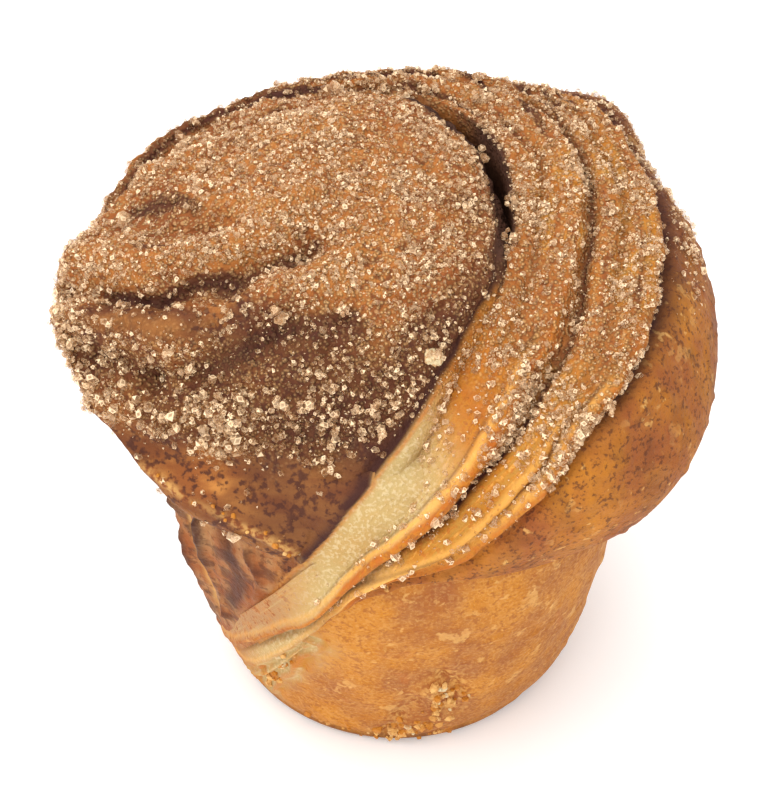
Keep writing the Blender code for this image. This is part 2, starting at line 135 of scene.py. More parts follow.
# Wrap: azimuth, then radius and height of its inner lip, first fold, second
# fold, wall and lower lip.
WRAP_STATIONS = (
    (-165, 23, 9.5, 22.6, 7, 21.8, 5, 21.4, 4.4, 20.8, 3.8),
    (-145, 24.6, 16, 24.4, 12, 23.2, 7.5, 22.8, 6.2, 22, 5),
    (-132, 26.6, 24.5, 26.2, 19, 25, 13, 24.6, 11.2, 23.8, 9.2),
    (-120, 28.2, 33.5, 27.8, 26.5, 26.7, 21, 26.3, 19.4, 25.4, 17.6),
    (-110, 27.6, 40.5, 28.6, 32, 27.7, 28.3, 27.4, 27.2, 26.4, 25.6),
    (-100, 24, 43.6, 28.9, 39.6, 28.4, 36.2, 28, 35.2, 27, 33.8),
    (-88, 20, 49.6, 28.5, 47, 28.6, 41.8, 28.4, 40.6, 27.5, 38.8),
    (-75, 17, 56.5, 26.5, 51.5, 28.6, 43.6, 28.8, 41.5, 27.8, 39.2),
    (-62, 14.8, 60, 23.8, 55.5, 29.6, 49, 30.8, 43.8, 28.3, 38),
    (-46, 13.5, 63, 22.3, 60.2, 31, 58.5, 34.5, 46.5, 29, 36),
    (-28, 13, 65.5, 21.4, 63.6, 31, 62.5, 38.4, 47, 31.2, 34.8),
    (-5, 13, 67, 21.3, 66, 31, 64.2, 39.9, 50.5, 31.2, 33.4),
    (20, 15.6, 67, 23.5, 66.8, 33.3, 64.6, 40.2, 54, 31, 33),
    (35, 17.6, 67.4, 26.4, 67, 35, 64, 39.6, 56, 31.3, 34),
    (49, 20.6, 67.6, 29.6, 67, 38.2, 63.8, 43.4, 57.4, 31.5, 35),
    (64, 24, 67.6, 30.5, 67, 36, 64.2, 40.4, 57, 31.2, 37),
    (80, 27.5, 67.3, 30.8, 67, 34.8, 64.8, 39, 57, 31, 38),
    (104, 29.5, 66.3, 32, 66.3, 34.5, 64.3, 37.5, 56.5, 31, 40),
    (125, 32.5, 65, 34, 65.2, 35.8, 63.3, 37.5, 56, 31, 41),
    (148, 34.4, 63.6, 36, 63.8, 37.6, 61.8, 37.8, 55, 31, 43),
    (165, 34, 61.2, 35.6, 61.4, 36.6, 59.4, 36, 54, 29.5, 45.5),
    (185, 29, 57, 30, 57.2, 31, 56, 30.6, 53, 26, 48),
)
# Azimuth, crest and crease of the first fold, of the second, and furrows.
WRAP_RELIEF = (
    (-165, 0.3, 0.4, 0.2, 0.2, 0),
    (-130, 0.5, 0.8, 0.4, 0.4, 0),
    (-100, 0.7, 1.2, 0.5, 0.6, 0),
    (-80, 0.9, 1.5, 0.8, 1, 0),
    (-55, 1, 1.7, 1, 1.3, 0.1),
    (-25, 0.7, 1.6, 0.9, 1.3, 0.5),
    (20, 0.6, 1.3, 0.8, 1.3, 0.7),
    (60, 0.5, 0.9, 0.6, 0.8, 0.6),
    (110, 0.5, 0.8, 0.3, 0.3, 0.3),
    (160, 0.4, 0.5, 0.2, 0.2, 0.2),
    (185, 0.2, 0.2, 0.1, 0.1, 0),
)
CREST_WIDTH = 1.1
CREASE_OFFSET = 1.9
CREASE_WIDTH = 0.9
FURROW_WIDTH = 0.9

# The solid's own steps, from which its sugar clumps take their seats.
SOLID_COIL_TURNS = 76
SOLID_COIL_SHOWN = 24
SOLID_COIL_HIDDEN = 3
SOLID_WRAP_TURNS = 84
SOLID_WRAP_SECTION = (
    0, 0.3, 0.5, 0.72, 0.92, 1.02, 1.12, 1.24, 1.45, 1.7, 1.9, 2, 2.08, 2.2,
    2.45, 2.7, 3, 3.4, 3.75, 4, 4.6, 5.2, 6, 6.6,
)
SUGAR_CLUMPS = 48
SUGAR_SMALL = 0.65
SUGAR_LARGE = 1.25
SUGAR_SEED = 10
# Clumps: share on the coil and how far down it, rows of the wrap, lowest height
# on each, flattest side on the wrap and least distance apart.
CLUMPS_ON_COIL = 0.66
CLUMPS_DOWN_COIL = 0.75
CLUMP_WRAP_ROWS = 12
CLUMP_COIL_FROM = 53.0
CLUMP_WRAP_FROM = 60.5
CLUMP_LEVEL = 0.5
CLUMP_SPACING = 3.0
# Shift of the wrap's hidden foot from its low lip and of its root from its inner
# lip, each with the further shift where the wrap stands tall.
FOOT_SHIFT = np.array([(-4.0, 0.0), (0.0, 2.5)])
ROOT_SHIFT = np.array([(-5.0, -4.0), (5.4, -12.0)])

# Hem: where the cut strip comes out from under the coil, by azimuth and
# height, and the same as a line for its dark crease, painted shade under the
# coil's edge.
HEM = (
    (-150, 8),
    (-136, 19.6),
    (-124, 30.2),
    (-116, 37.6),
    (-108, 43.8),
    (-101, 49.4),
    (-91, 54.3),
    (-81, 58.1),
    (-70, 61.6),
    (-50, 64.6),
    (-30, 66.4),
    (-10, 68.2),
)
HEM_LINE = (
    (13.2, -1, 68.3),
    (12.3, -6.8, 65.8),
    (9.3, -10.9, 64.3),
    (5.8, -15.6, 61.6),
    (2.9, -18.7, 58.1),
    (-0.5, -21.4, 54.3),
    (-4.6, -24, 49.9),
    (-8.1, -25.2, 43.8),
    (-10, -25.3, 41),
)
# Coil's low edge, where its crust turns under.
SKIRT_LINE = (
    (-30, -15.5, 48),
    (-23.5, -20.7, 46.4),
    (-20.5, -22, 45.8),
    (-17.6, -23.3, 44.9),
    (-14.6, -24.4, 44),
    (-11.7, -25.1, 42.6),
    (-9.6, -25.6, 39.6),
)
# Pale crumb that trails from the wrap's end down to the foot.
TAIL_LINE = (
    (-9.7, -24.8, 24.2),
    (-12.3, -22.7, 19.6),
    (-14.4, -19.7, 12.8),
    (-15.4, -18.4, 9),
    (-16.4, -16, 5),
)
# Flakes: surface, share of their number, spread, least and greatest size, line.
# The last of them is a pale crumb.
FLAKE_PLACES = (
    ("cup", 0.30, 1, 0.3, 1, ((7.1, -25.4, 15.5), (7.8, -24, 10), (4.6, -23.6, 5.5))),
    ("cup", 0.22, 1, 0.3, 1, ((4.6, -23.6, 5.5), (1.6, -22.6, 3), (-1, -22, 1.5))),
    ("cup", 0.14, 0.9, 0.3, 0.7, ((-12, -19.5, 3), (-2, -22, 1.5), (9, -20.6, 1.5))),
    ("cup", 0.20, 0.5, 0.3, 0.9, TAIL_LINE[1:]),
    ("coil", 0.09, 0.35, 0.25, 0.55, SKIRT_LINE),
    ("coil", 0.05, 0.3, 0.8, 1.4, ((4.5, -14.3, 64.1), (5.3, -14.3, 64.1))),
)
# Darker band in the leaves below the coil: painted shade under its overhang.
DARK_BAND = (
    (-21, -18, 41),
    (-19.3, -19.6, 34.2),
    (-18.1, -20.4, 31),
    (-19.5, -17.5, 24),
)
# Bare bulge of the coil under its first groove, and its half width.
BULGE_LINE = ((-33, -6, 63), (-26, -10, 65.9), (-18, -9.5, 66.8))
BULGE_WIDTH = 3.4
# Broad and narrow tones of the coil: strength (dark above 0, golden below), width,
# line. The narrow dark lines in the grooves are painted shade and the golden ones
# on the crests painted light; the broad ones are the crust's own tone.
COIL_TONES = (
    (0.9, 6.5, ((-13, -12, 65.5), (-8, -15.5, 62.5), (-1, -17.5, 60.5))),
    (0.8, 4, ((8, 7, 70.5), (10, 0, 69.7), (9.5, -7, 68.2), (5, -12, 65))),
    (0.15, 3.2, ((-34, 6, 65), (-28, 9, 65.5), (-22, 9, 68))),
    (0.4, 4, ((-2, -20, 56), (-6, -22.5, 51.5), (-9, -24, 47))),
    (0.5, 3, ((-24, -16.5, 55), (-17, -18, 56), (-10, -18.6, 57.5))),
    (-0.9, 2.6, ((-37, -1, 62.5), (-28, -3.2, 67.1), (-18, -1.5, 70), (-11, 4, 72))),
    (0.8, 3.6, BULGE_LINE),
    (-0.6, 5, ((-8, 16, 71.5), (0, 6, 72), (-2, -3, 71))),
    (-0.5, 3.5, ((-37, 5, 60), (-34, 12, 62), (-26, 18, 66))),
    (-0.6, 2.6, ((-35, -13, 54), (-29, -17.5, 51), (-22, -20.5, 48.5))),
    (1.7, 0.9, ((-22.8, 15.4, 68.7), (-18.9, 16.1, 69.9), (-14, 22.9, 68.2))),
    (1.5, 1.2, ((-31.8, 9.1, 64.3), (-28.7, 8.9, 65.6), (-23.6, 5.8, 68.9))),
    (1.4, 0.8, ((-31.9, 1.5, 67.5), (-27.9, -0.6, 68.5), (-22, -0.4, 70.1), (-16.2, -0.8, 70.4))),
    (2, 1, (
        (-37.4, 0.4, 60.8), (-31.7, -3.4, 62.6), (-28.7, -5.2, 63.2), (-24.5, -5.4, 64.9),
        (-20.3, -5, 66.6), (-16.2, -5.1, 67.2), (-12.1, -3.7, 68.8), (-9, -1.1, 70),
    )),
    (1.4, 1.7, (
        (-21.4, -13.9, 59.8), (-17.8, -13.4, 62.7), (-14.9, -12.5, 64.2), (-11.4, -11.9, 66.1),
        (-4.5, -11.4, 67.2),
    )),
    (1.2, 1.2, ((13.5, -2.4, 67.7), (11.7, -7, 66), (9.3, -9.8, 64.8), (7.6, -12, 63.7))),
    (0.7, 2.2, ((5.9, 4.8, 70.8), (9.5, 5, 69.9))),
    (-1.2, 1.2, (
        (-36, -1.5, 63.5), (-31.6, -2.2, 66), (-26.8, -2.6, 67.9), (-22, -2.6, 69.2),
        (-16.2, -2.6, 70), (-11.6, -0.5, 71.8), (-9, 2.5, 73),
    )),
    (-1, 2, ((-22.7, -6.8, 65), (-19, -8.8, 66.6))),
)

# Where the coarse sugar has heaped on the coil, and how wide the heap is.
HEAP = (-20.3, -17.6, 56.1)
HEAP_WIDTH = 4.0

# Height above which the coil is sugared, how much higher that is at its right
# side, and the softness and raggedness of that edge.
SUGAR_FROM = 52.6
SUGAR_FROM_MORE = 3.6
SUGAR_EDGE = (-1.6, 3.4)
SUGAR_RAGGED = 1.5
# Places down the coil's profile of its tuck and its end.
COIL_TUCK = 3.4
COIL_END = 5.0
# Places down the coil over which its sugar and its fine relief end, and the
# distances from its axis over which the gap's darkness starts: painted shade over
# dark cinnamon.
SUGAR_LAST = (3.3, 3.0)
COIL_RELIEF_LAST = (3.6, 3.35)
GAP_RADII = (25.6, 27.0)
# Wrap: mean radius, places of its furrows and of its middle leaf, and places over
# which its sugared top ends, its wall starts and its relief ends.
WRAP_RADIUS = 32.0
FURROWS = (0.5, 1.6)
MIDDLE_LEAF = 1.72
WRAP_TOP_LAST = (2.2, 1.9)
WALL_FIRST = (2.0, 2.25)
WRAP_RELIEF_LAST = (4.0, 3.6)
# Places deep in the gap, painted dark there with shade over dark cinnamon: round
# the wrap's root, and just inside its lip.
ROOT_FIRST = 4.5
ROOT_DARK = (6.95, 6.75)
LIP_DARK = (0.12, 0.03)

# Steps of the dressed meshes.
COIL_TURNS = 420
COIL_SHOWN = 212
COIL_HIDDEN = 12
WRAP_TURNS = 600
WRAP_ROWS = 160
CUP_TURNS = 460
CUP_ROWS = 130
BASE_ROWS = 18

# Where each tint or fold shows, by azimuth: none at the first angle, full at the
# second and, where there are four, fading from the third to the fourth.
SPANS = {
    "tall": (-112, -86, 66, 92),
    "strip": (-146, -138, -34, -18),
    "pale": (-122, -104, -86, -60),
    "peach": (-104, -120),
    "yolk": (-96, -76),
    "ember": (-76, -60),
    "front": (-108, -92, -52, -34),
    "tail": (-98, -112),
    "inner": (0, -30),
    "between": (-24, -50),
    "pale between": (-150, -120, -100, -84),
    "yolk inner": (-96, -76, -46, -34),
    "ember inner": (-76, -60, -44, -34),
    "leaf": (-20, -44),
    "patches": (60, 30),
    "ring": (-56, -30),
    "crease": (-96, -74),
    "outer crease": (-58, -30),
    "lip crease": (-66, -40),
    "hairlines": (-112, -100, -56, -40),
    "back": (60, 110),
    "back crease": (95, 115),
    # Where the gap is painted dark: painted shade over dark cinnamon.
    "wrap gap": (-24, -10, 60, 75),
    "coil gap": (-22, -10, 58, 75),
    "dusk": (38, 80),
    "golden": (-44, -26, 22, 40),
    "brown wall": (-6, 18),
    "dark wall top": (-30, -6, 60, 90),
    "cinnamon": (30, 80),
    "sugar": (-64, -40),
    "sugar end": (180, 168),
    "thin sugar": (76, 100),
    "stray": (-120, -60),
    "wall stray": (-10, 20),
    "drift": (-66, -60, -50, -40),
    "torn leaves": (-178, -172, -116, -109),
    "shelf": (-121, -117, -60, -50),
    "ledge": (-150, -140, -60, -50),
}
# Lowest height of the strip's tints on the cup, by azimuth.
TINT_FROM = ((-143, 10), (-127, 21.5), (-116, 29.2), (-108, 34.7), (-99, 40.5), (-88, 47.4))

# Noises of the crust: grain size in metres, detail and stretch.
NOISES = {
    "broad": (0.011, 3.0, None),
    "mottle": (0.0027, 4.0, None),
    "speck": (0.0009, 3.0, None),
    "pore": (0.00045, 2.0, None),
    "drag": (0.0030, 3.0, (0.35, 1.1, 1.1)),
    "hang": (0.0042, 4.0, (1.3, 1.3, 0.35)),
}
# Sides of its cells in metres: dashes, dots, sand and grit.
DASH_SIDE = 0.0056
DOT_SIDE = 0.0027
SAND_SIDE = 0.00052
GRIT_SIDE = 0.00095

# Sugar: share on the coil, crystals in a clump, and the opacity of the loose
# crystals and of the clumps, in the middle and under their painted highlights.
SUGAR_ON_COIL = 0.62
CLUMP_CRYSTALS = 11
LOOSE_CLEAR = (0.14, 0.92)
CLUMP_CLEAR = (0.25, 0.85)
# Least and greatest stretch of a crystal and a grain, how far a crystal's tips
# are chipped, and the least and greatest size against the mean.
CRYSTAL_STRETCH = (0.75, 1.3)
GRAIN_STRETCH = (0.75, 1.35)
CRYSTAL_CHIP = 0.1
SIZE_LIMITS = (0.55, 1.7)
# Sugar's size against the mean at the crown and at the brim, and their heights.
SIZE_AT_CROWN = 0.76
SIZE_AT_BRIM = 1.16
CROWN_AND_BRIM = (66.0, 55.0)

# Camera: aim height, distance, elevation and the picture's scale.
AIM_HEIGHT = 41.5
CAMERA_AWAY = 380.0
CAMERA_ELEVATION = 47.0
PICTURE_SIDE = 800
PICTURE_SCALE = 8.1
SENSOR = 36.0
NEAREST = 0.01

# Stage, in metres: the floor's side, and the place and side of each light.
FLOOR_SIDE = 4.0
KEY_LIGHT = ((-0.16, 0.06, 0.60), 0.9)
FILL_LIGHT = ((-0.16, -0.58, 0.26), 0.45)


def held(x):
    """Kept between 0 and 1."""
    return np.clip(x, 0.0, 1.0)


def ease(low, high, x):
    """Smooth step from 0 at low to 1 at high."""
    t = held((np.asarray(x, float) - low) / (high - low))
    return t * t * (3.0 - 2.0 * t)


def bell(x, width):
    """Bell curve of height 1 and that half width."""
    return np.exp(-((np.asarray(x, float) / width) ** 2))


def through(knots, values, at):
    """Smooth curve through the values at the knots (cubic Hermite)."""
    knots = np.asarray(knots, float)
    values = np.asarray(values, float)
    at = np.asarray(at, float)
    column = (-1,) + (1,) * (values.ndim - 1)
    gaps = np.diff(knots).reshape(column)
    slopes = np.diff(values, axis=0) / gaps
    before = gaps[:-1]
    after = gaps[1:]
    middle = (slopes[:-1] * after + slopes[1:] * before) / (before + after)
    tangents = np.concatenate([slopes[:1], middle, slopes[-1:]])
    k = np.clip(np.searchsorted(knots, at, side="right") - 1, 0, len(gaps) - 1)
    h = gaps[k]
    t = (at - knots[k]).reshape(column) / h
    t2 = t * t
    t3 = t2 * t
    return (
        (2 * t3 - 3 * t2 + 1) * values[k]
        + (t3 - 2 * t2 + t) * h * tangents[k]
        + (3 * t2 - 2 * t3) * values[k + 1]
        + (t3 - t2) * h * tangents[k + 1]
    )


def round_table(stations, at):
    """Stations that repeat every 360 degrees, read at the angles."""
    rows = np.array(stations, float)
    count = len(rows)
    wide = np.vstack([rows, rows, rows])
    wide[:count, 0] -= 360.0
    wide[2 * count:, 0] += 360.0
    return through(wide[:, 0], wide[:, 1:], np.mod(at, 360.0))


def outward(grid, closed):
    """Unit normals of a grid of points, by differences along both ways."""
    if closed:
        along = np.roll(grid, -1, axis=0) - np.roll(grid, 1, axis=0)
    else:
        along = np.gradient(grid, axis=0)
    across = np.gradient(grid, axis=1)
    normal = np.cross(across, along)
    return normal / np.maximum(length(normal, axis=2, keepdims=True), TINY)


def line_distance(points, line):
    """Distance of each point from a line of straight runs."""
    line = np.asarray(line, float)
    best = np.full(points.shape[:-1], 1e9)
    for start, end in zip(line[:-1], line[1:]):
        run = end - start
        t = held(((points - start) @ run) / (run @ run))
        gap = length(points - start - t[..., None] * run, axis=-1)
        best = np.minimum(best, gap)
    return best


def fold_relief(points, folds):
    """Rise of the surface that the folds give at each point."""
    rise = np.zeros(points.shape[:-1])
    for height, width, line in folds:
        rise += height * bell(line_distance(points, line), width)
    return rise


class Grain:
    """Smooth noise in space from a seeded lattice, about -1 to 1."""

    SIDE = 64

    def __init__(self, seed):
        draw = np.random.default_rng(seed)
        self.lattice = draw.uniform(-1.0, 1.0, (self.SIDE,) * 3)

    def __call__(self, points, size):
        place = np.asarray(points, float) / size + 17.3
        cell = np.floor(place).astype(int)
        part = place - cell
        part = part * part * (3.0 - 2.0 * part)
        total = np.zeros(place.shape[:-1])
        for corner in range(8):
            step = np.array([corner & 1, corner >> 1 & 1, corner >> 2 & 1])
            at = np.mod(cell + step, self.SIDE)
            weight = np.prod(np.where(step, part, 1.0 - part), axis=-1)
            total += weight * self.lattice[at[..., 0], at[..., 1], at[..., 2]]
        return total * 1.4

    def rough(self, points, size, octaves=3):
        """Several sizes of noise, each half the last."""
        return sum(self(points, size / 2**k) / 2**k for k in range(octaves))


grain = Grain(5)


def astray(points, size, reach=1.0):
    """A wander of the points, smooth over that size."""
    return np.stack([grain(points + apart, size) for apart in (0.0, 40.0, 80.0)], -1) * reach


def window(low, rise, fall, high, x):
    """1 between rise and fall, easing to 0 at low and high."""
    return ease(low, rise, x) * ease(high, fall, x)


def shown(name, azimuth):
    """How much of the named tint or fold shows at the azimuth."""
    span = SPANS[name]
    return (ease if len(span) == 2 else window)(*span, azimuth)


def most(*values):
    """The greatest of the values, point by point."""
    return np.maximum.reduce(np.broadcast_arrays(*values))


def coil_falls(seen, hidden):
    """Places down the coil: even as far as the tuck, sparser under it."""
    top = np.linspace(0.0, COIL_TUCK, seen + 1)[1:]
    under = np.linspace(COIL_TUCK, COIL_END, hidden + 2)[1:-1]
    return np.concatenate([top, under])


def coil_angles(turns):
    """Turn angles, closer together where the folds run in."""
    fine = np.linspace(0.0, 360.0, 3601)
    near = bell(fine - COIL_DENSE_AT, COIL_DENSE_SPREAD)
    total = np.concatenate([[0.0], np.cumsum(1.0 + COIL_DENSE_GAIN * near[1:])])
    return np.interp(np.arange(turns) * total[-1] / turns, total, fine)


def coil_points(turns, fall):
    """Plain coil: a grid of points, turn by place, from crown to bottom."""
    angles = coil_angles(turns)
    table = round_table(COIL_STATIONS, angles)
    grid = np.empty((turns, len(fall), 3))
    for i, angle in enumerate(angles):
        profile = [(0.0, COIL_CROWN), *table[i].reshape(3, 2), COIL_ROOT, (0.0, COIL_BOTTOM)]
        rz = through(np.arange(6.0), profile, fall)
        a = math.radians(angle)
        grid[i, :, 0] = COIL_AXIS[0] + rz[:, 0] * math.cos(a)
        grid[i, :, 1] = COIL_AXIS[1] + rz[:, 0] * math.sin(a)
        grid[i, :, 2] = rz[:, 1]
    return grid


def solid_coil():
    """The coil as the solid has it."""
    grid = coil_points(SOLID_COIL_TURNS, coil_falls(SOLID_COIL_SHOWN, SOLID_COIL_HIDDEN))
    return grid + outward(grid, True) * fold_relief(grid, COIL_FOLDS)[..., None]


def section_run(section):
    """Length along a section from its first point."""
    return np.concatenate([[0.0], np.cumsum(length(np.diff(section, axis=0), axis=1))])


def solid_wrap_relief(relief, section, places):
    """Rise along one section as the solid has it."""
    crest_1, crease_1, crest_2, crease_2, furrow = relief
    run = section_run(section)
    rise = np.zeros(len(places))
    for place, crest, crease in ((1.0, crest_1, crease_1), (2.0, crest_2, crease_2)):
        d = run - np.interp(place, places, run)
        rise += crest * bell(d, CREST_WIDTH)
        rise -= crease * bell(d - CREASE_OFFSET, CREASE_WIDTH)
    for place in (0.5, 1.6):
        d = run - np.interp(place, places, run)
        rise -= furrow * bell(d, FURROW_WIDTH)
    return np.where(places > 3.6, 0.0, rise)


def wrap_sections(turns, places):
    """Plain wrap: azimuths, relief heights and a section of each azimuth."""
    rows = np.array(WRAP_STATIONS, float)
    angles = np.linspace(rows[0, 0], rows[-1, 0], turns)
    table = through(rows[:, 0], rows[:, 1:], angles)
    reliefs = np.array(WRAP_RELIEF, float)
    relief = through(reliefs[:, 0], reliefs[:, 1:], angles)
    sections = np.empty((turns, len(places), 2))
    for i, angle in enumerate(angles):
        v = table[i].reshape(5, 2)
        tall = np.array([1.0, shown("tall", angle)])
        section = np.vstack([v, v[4] + tall @ FOOT_SHIFT, v[0] + tall @ ROOT_SHIFT, v[0]])
        sections[i] = through(np.arange(8.0), section, places)
    return angles, relief, sections


def swing(angles, sections, rises):
    """Sections raised along their own outward side and swung into place."""
    way = np.gradient(sections, axis=1)
    way /= length(way, axis=2, keepdims=True)
    r = sections[..., 0] - way[..., 1] * rises
    z = sections[..., 1] + way[..., 0] * rises
    a = np.radians(angles)[:, None]
    return np.stack([r * np.cos(a), r * np.sin(a), z], axis=-1)


def solid_wrap():
    """The wrap as the solid has it."""
    places = np.array(SOLID_WRAP_SECTION)
    angles, relief, sections = wrap_sections(SOLID_WRAP_TURNS, places)
    rises = np.array([solid_wrap_relief(r, s, places) for r, s in zip(relief, sections)])
    return swing(angles, sections, rises)


def clump_seats():
    """Seats of the sugar clumps, drawn just as the solid draws them."""
    rng = random.Random(SUGAR_SEED)
    coil = solid_coil()
    wrap = solid_wrap()
    coil_normal = outward(coil, True)
    wrap_normal = outward(wrap, False)
    seats = []
    while len(seats) < SUGAR_CLUMPS:
        if rng.random() < CLUMPS_ON_COIL:
            i = rng.randrange(coil.shape[0])
            j = int(SOLID_COIL_SHOWN * CLUMPS_DOWN_COIL * math.sqrt(rng.random()))
            point, normal = coil[i, j], coil_normal[i, j]
            sugared = point[2] > CLUMP_COIL_FROM
        else:
            i = rng.randrange(wrap.shape[0])
            j = rng.randrange(CLUMP_WRAP_ROWS)
            point, normal = wrap[i, j], wrap_normal[i, j]
            sugared = point[2] > CLUMP_WRAP_FROM and normal[2] > CLUMP_LEVEL
        size = rng.uniform(SUGAR_SMALL, SUGAR_LARGE)
        if normal[2] < 0.0:
            continue
        clear = all(length(point - seat[0]) > CLUMP_SPACING for seat in seats)
        if sugared and clear:
            seats.append((point, normal, size))
    return seats


class Shade:
    """A socket of a material's nodes, on which arithmetic adds Math nodes."""

    def __init__(self, tree, socket=None):
        self.tree = tree
        self.socket = socket

    def node(self, kind, settings=None, sockets=None, output=0):
        """Adds a node: its settings first, then its sockets' values or links."""
        made = self.tree.nodes.new(kind)
        for name, value in (settings or {}).items():
            setattr(made, name, value)
        for key, value in (sockets or {}).items():
            if isinstance(value, Shade):
                self.tree.links.new(value.socket, made.inputs[key])
            else:
                made.inputs[key].default_value = value
        return Shade(self.tree, made.outputs[output])

    def maths(self, operation, *values):
        return self.node("ShaderNodeMath", {"operation": operation}, dict(enumerate(values)))

    def __add__(self, other):
        return self.maths("ADD", self, other)

    def __radd__(self, other):
        return self.maths("ADD", other, self)

    def __sub__(self, other):
        return self.maths("SUBTRACT", self, other)

    def __rsub__(self, other):
        return self.maths("SUBTRACT", other, self)

    def __mul__(self, other):
        return self.maths("MULTIPLY", self, other)

    def __rmul__(self, other):
        return self.maths("MULTIPLY", other, self)

    def limit(self):
        """The value kept between 0 and 1."""
        return self.node("ShaderNodeClamp", {}, {"Value": self, "Min": 0.0, "Max": 1.0})

    def step(self, low, high):
        """Smooth step from 0 at low to 1 at high."""
        return self.node(
            "ShaderNodeMapRange",
            {"interpolation_type": "SMOOTHSTEP"},
            {"Value": self, "From Min": low, "From Max": high},
        )

    def blend(self, under, over):
        """The under colour, passing into the over colour with this value."""
        return self.node(
            "ShaderNodeMix",
            {"data_type": "RGBA"},
            {0: self, 6: colour_of(under), 7: colour_of(over)},
            output=2,
        )


def colour_of(value):
    """A colour for a socket: four numbers, or the link as it is."""
    return value if isinstance(value, Shade) else (*tuple(value)[:3], 1.0)


def laid(ground, *layers):
    """A ground under layers of colour, each as thick as the value before it."""
    for thickness, over in layers:
        ground = thickness.blend(ground, over)
    return ground


class Finish:
    """One material: its nodes, its place in the object and its attributes."""

    def __init__(self, name):
        self.material = bpy.data.materials.new(name)
        self.material.use_nodes = True
        self.tree = self.material.node_tree
        self.shader = self.tree.nodes["Principled BSDF"]
        self.start = Shade(self.tree)
        self.place = self.start.node("ShaderNodeTexCoord", output=3)

    def mask(self, name):
        return self.start.node("ShaderNodeAttribute", {"attribute_name": name}, output=2)

    def noise(self, size, detail=3.0, stretch=None, place=None):
        """Noise of that grain size in metres, from 0 to 1."""
        at = place or self.place
        if stretch is not None:
            at = self.start.node("ShaderNodeVectorMath", {"operation": "MULTIPLY"}, {0: at, 1: stretch})
        return self.start.node(
            "ShaderNodeTexNoise", {}, {"Vector": at, "Scale": 1.0 / size, "Detail": detail, "Roughness": 0.55}
        )

    def cells(self, size, place=None):
        """Distance from the nearest of scattered points, that far apart."""
        sockets = {"Vector": place or self.place, "Scale": 1.0 / size}
        return self.start.node("ShaderNodeTexVoronoi", {}, sockets)

    def joined(self, x, y, z):
        return self.start.node("ShaderNodeCombineXYZ", {}, {0: x, 1: y, 2: z})

    def moved(self, size, amount):
        """The place, shifted here and there by noise of that size."""
        jitter = self.start.node(
            "ShaderNodeTexNoise", {}, {"Vector": self.place, "Scale": 1.0 / size, "Detail": 2.0}, output=1
        )
        return self.start.node(
            "ShaderNodeVectorMath",
            {"operation": "MULTIPLY_ADD"},
            {0: jitter, 1: (amount, amount, amount), 2: self.place},
        )

    def bump(self, height, depth, under=None):
        """A bump of that height in metres over an earlier normal."""
        sockets = {"Strength": 1.0, "Distance": depth, "Height": height}
        if under is not None:
            sockets["Normal"] = under
        return self.start.node("ShaderNodeBump", {}, sockets)

    def feed(self, **sockets):
        """Links or sets sockets of the Principled shader by name."""
        for name, value in sockets.items():
            target = self.shader.inputs[name.replace("_", " ")]
            if isinstance(value, Shade):
                self.tree.links.new(value.socket, target)
            elif hasattr(target.default_value, "__len__"):
                target.default_value = (*tuple(value)[:3], 1.0)
            else:
                target.default_value = value
        return self.material


def mesh_object(name, points, corners, sizes, masks=None, smooth=True):
    """A mesh object from points in millimetres and faces as flat arrays."""
    scaled = (np.asarray(points, float) - CENTRE) * MM
    mesh = bpy.data.meshes.new(name)
    mesh.vertices.add(len(scaled))
    mesh.vertices.foreach_set("co", scaled.astype(np.float32).ravel())
    corners = np.asarray(corners, np.int32).ravel()
    sizes = np.asarray(sizes, np.int32).ravel()
    mesh.loops.add(len(corners))
    mesh.loops.foreach_set("vertex_index", corners)
    mesh.polygons.add(len(sizes))
    mesh.polygons.foreach_set("loop_start", np.concatenate([[0], np.cumsum(sizes)[:-1]]).astype(np.int32))
    mesh.polygons.foreach_set("loop_total", sizes)
    mesh.polygons.foreach_set("use_smooth", np.full(len(sizes), smooth))
    mesh.update(calc_edges=True)
    for key, values in (masks or {}).items():
        layer = mesh.attributes.new(key, "FLOAT", "POINT")
        layer.data.foreach_set("value", np.asarray(values, np.float32).ravel())
    mesh.validate()
    made = bpy.data.objects.new(name, mesh)
    bpy.context.scene.collection.objects.link(made)
    return made


def dress(piece, material):
    """Gives the piece its finish and its place in the frame."""
    piece.data.materials.append(material)
    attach(piece, BODY)
    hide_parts(NODE)


def ring_corners(turns, rows, closed_rows=False):
    """Quads of a grid that closes round its turn."""
    i = np.arange(turns)[:, None]
    j = np.arange(rows if closed_rows else rows - 1)[None, :]
    n = (i + 1) % turns
    m = (j + 1) % rows
    return np.stack([i * rows + j, n * rows + j, n * rows + m, i * rows + m], -1).reshape(-1, 4)


def scatter(grid, weight, count, draw):
    """Random points on a grid's quads, as thick as the weight says."""
    a = grid[:-1, :-1]
    b = grid[1:, :-1]
    c = grid[1:, 1:]
    d = grid[:-1, 1:]
    w = (weight[:-1, :-1] + weight[1:, :-1] + weight[1:, 1:] + weight[:-1, 1:]) / 4
    cross = np.cross(c - a, d - b)
    area = length(cross, axis=-1) / 2
    chance = (area * np.clip(w, 0.0, None)).ravel()
    pick = draw.choice(len(chance), count, p=chance / chance.sum())
    u, v = draw.random((2, count, 1))
    flat = [x.reshape(-1, 3)[pick] for x in (a, b, c, d)]
    point = (flat[0] * (1 - u) + flat[1] * u) * (1 - v) + (flat[3] * (1 - u) + flat[2] * u) * v
    normal = -cross.reshape(-1, 3)[pick]
    normal /= np.maximum(length(normal, axis=1, keepdims=True), TINY)
    return point, normal


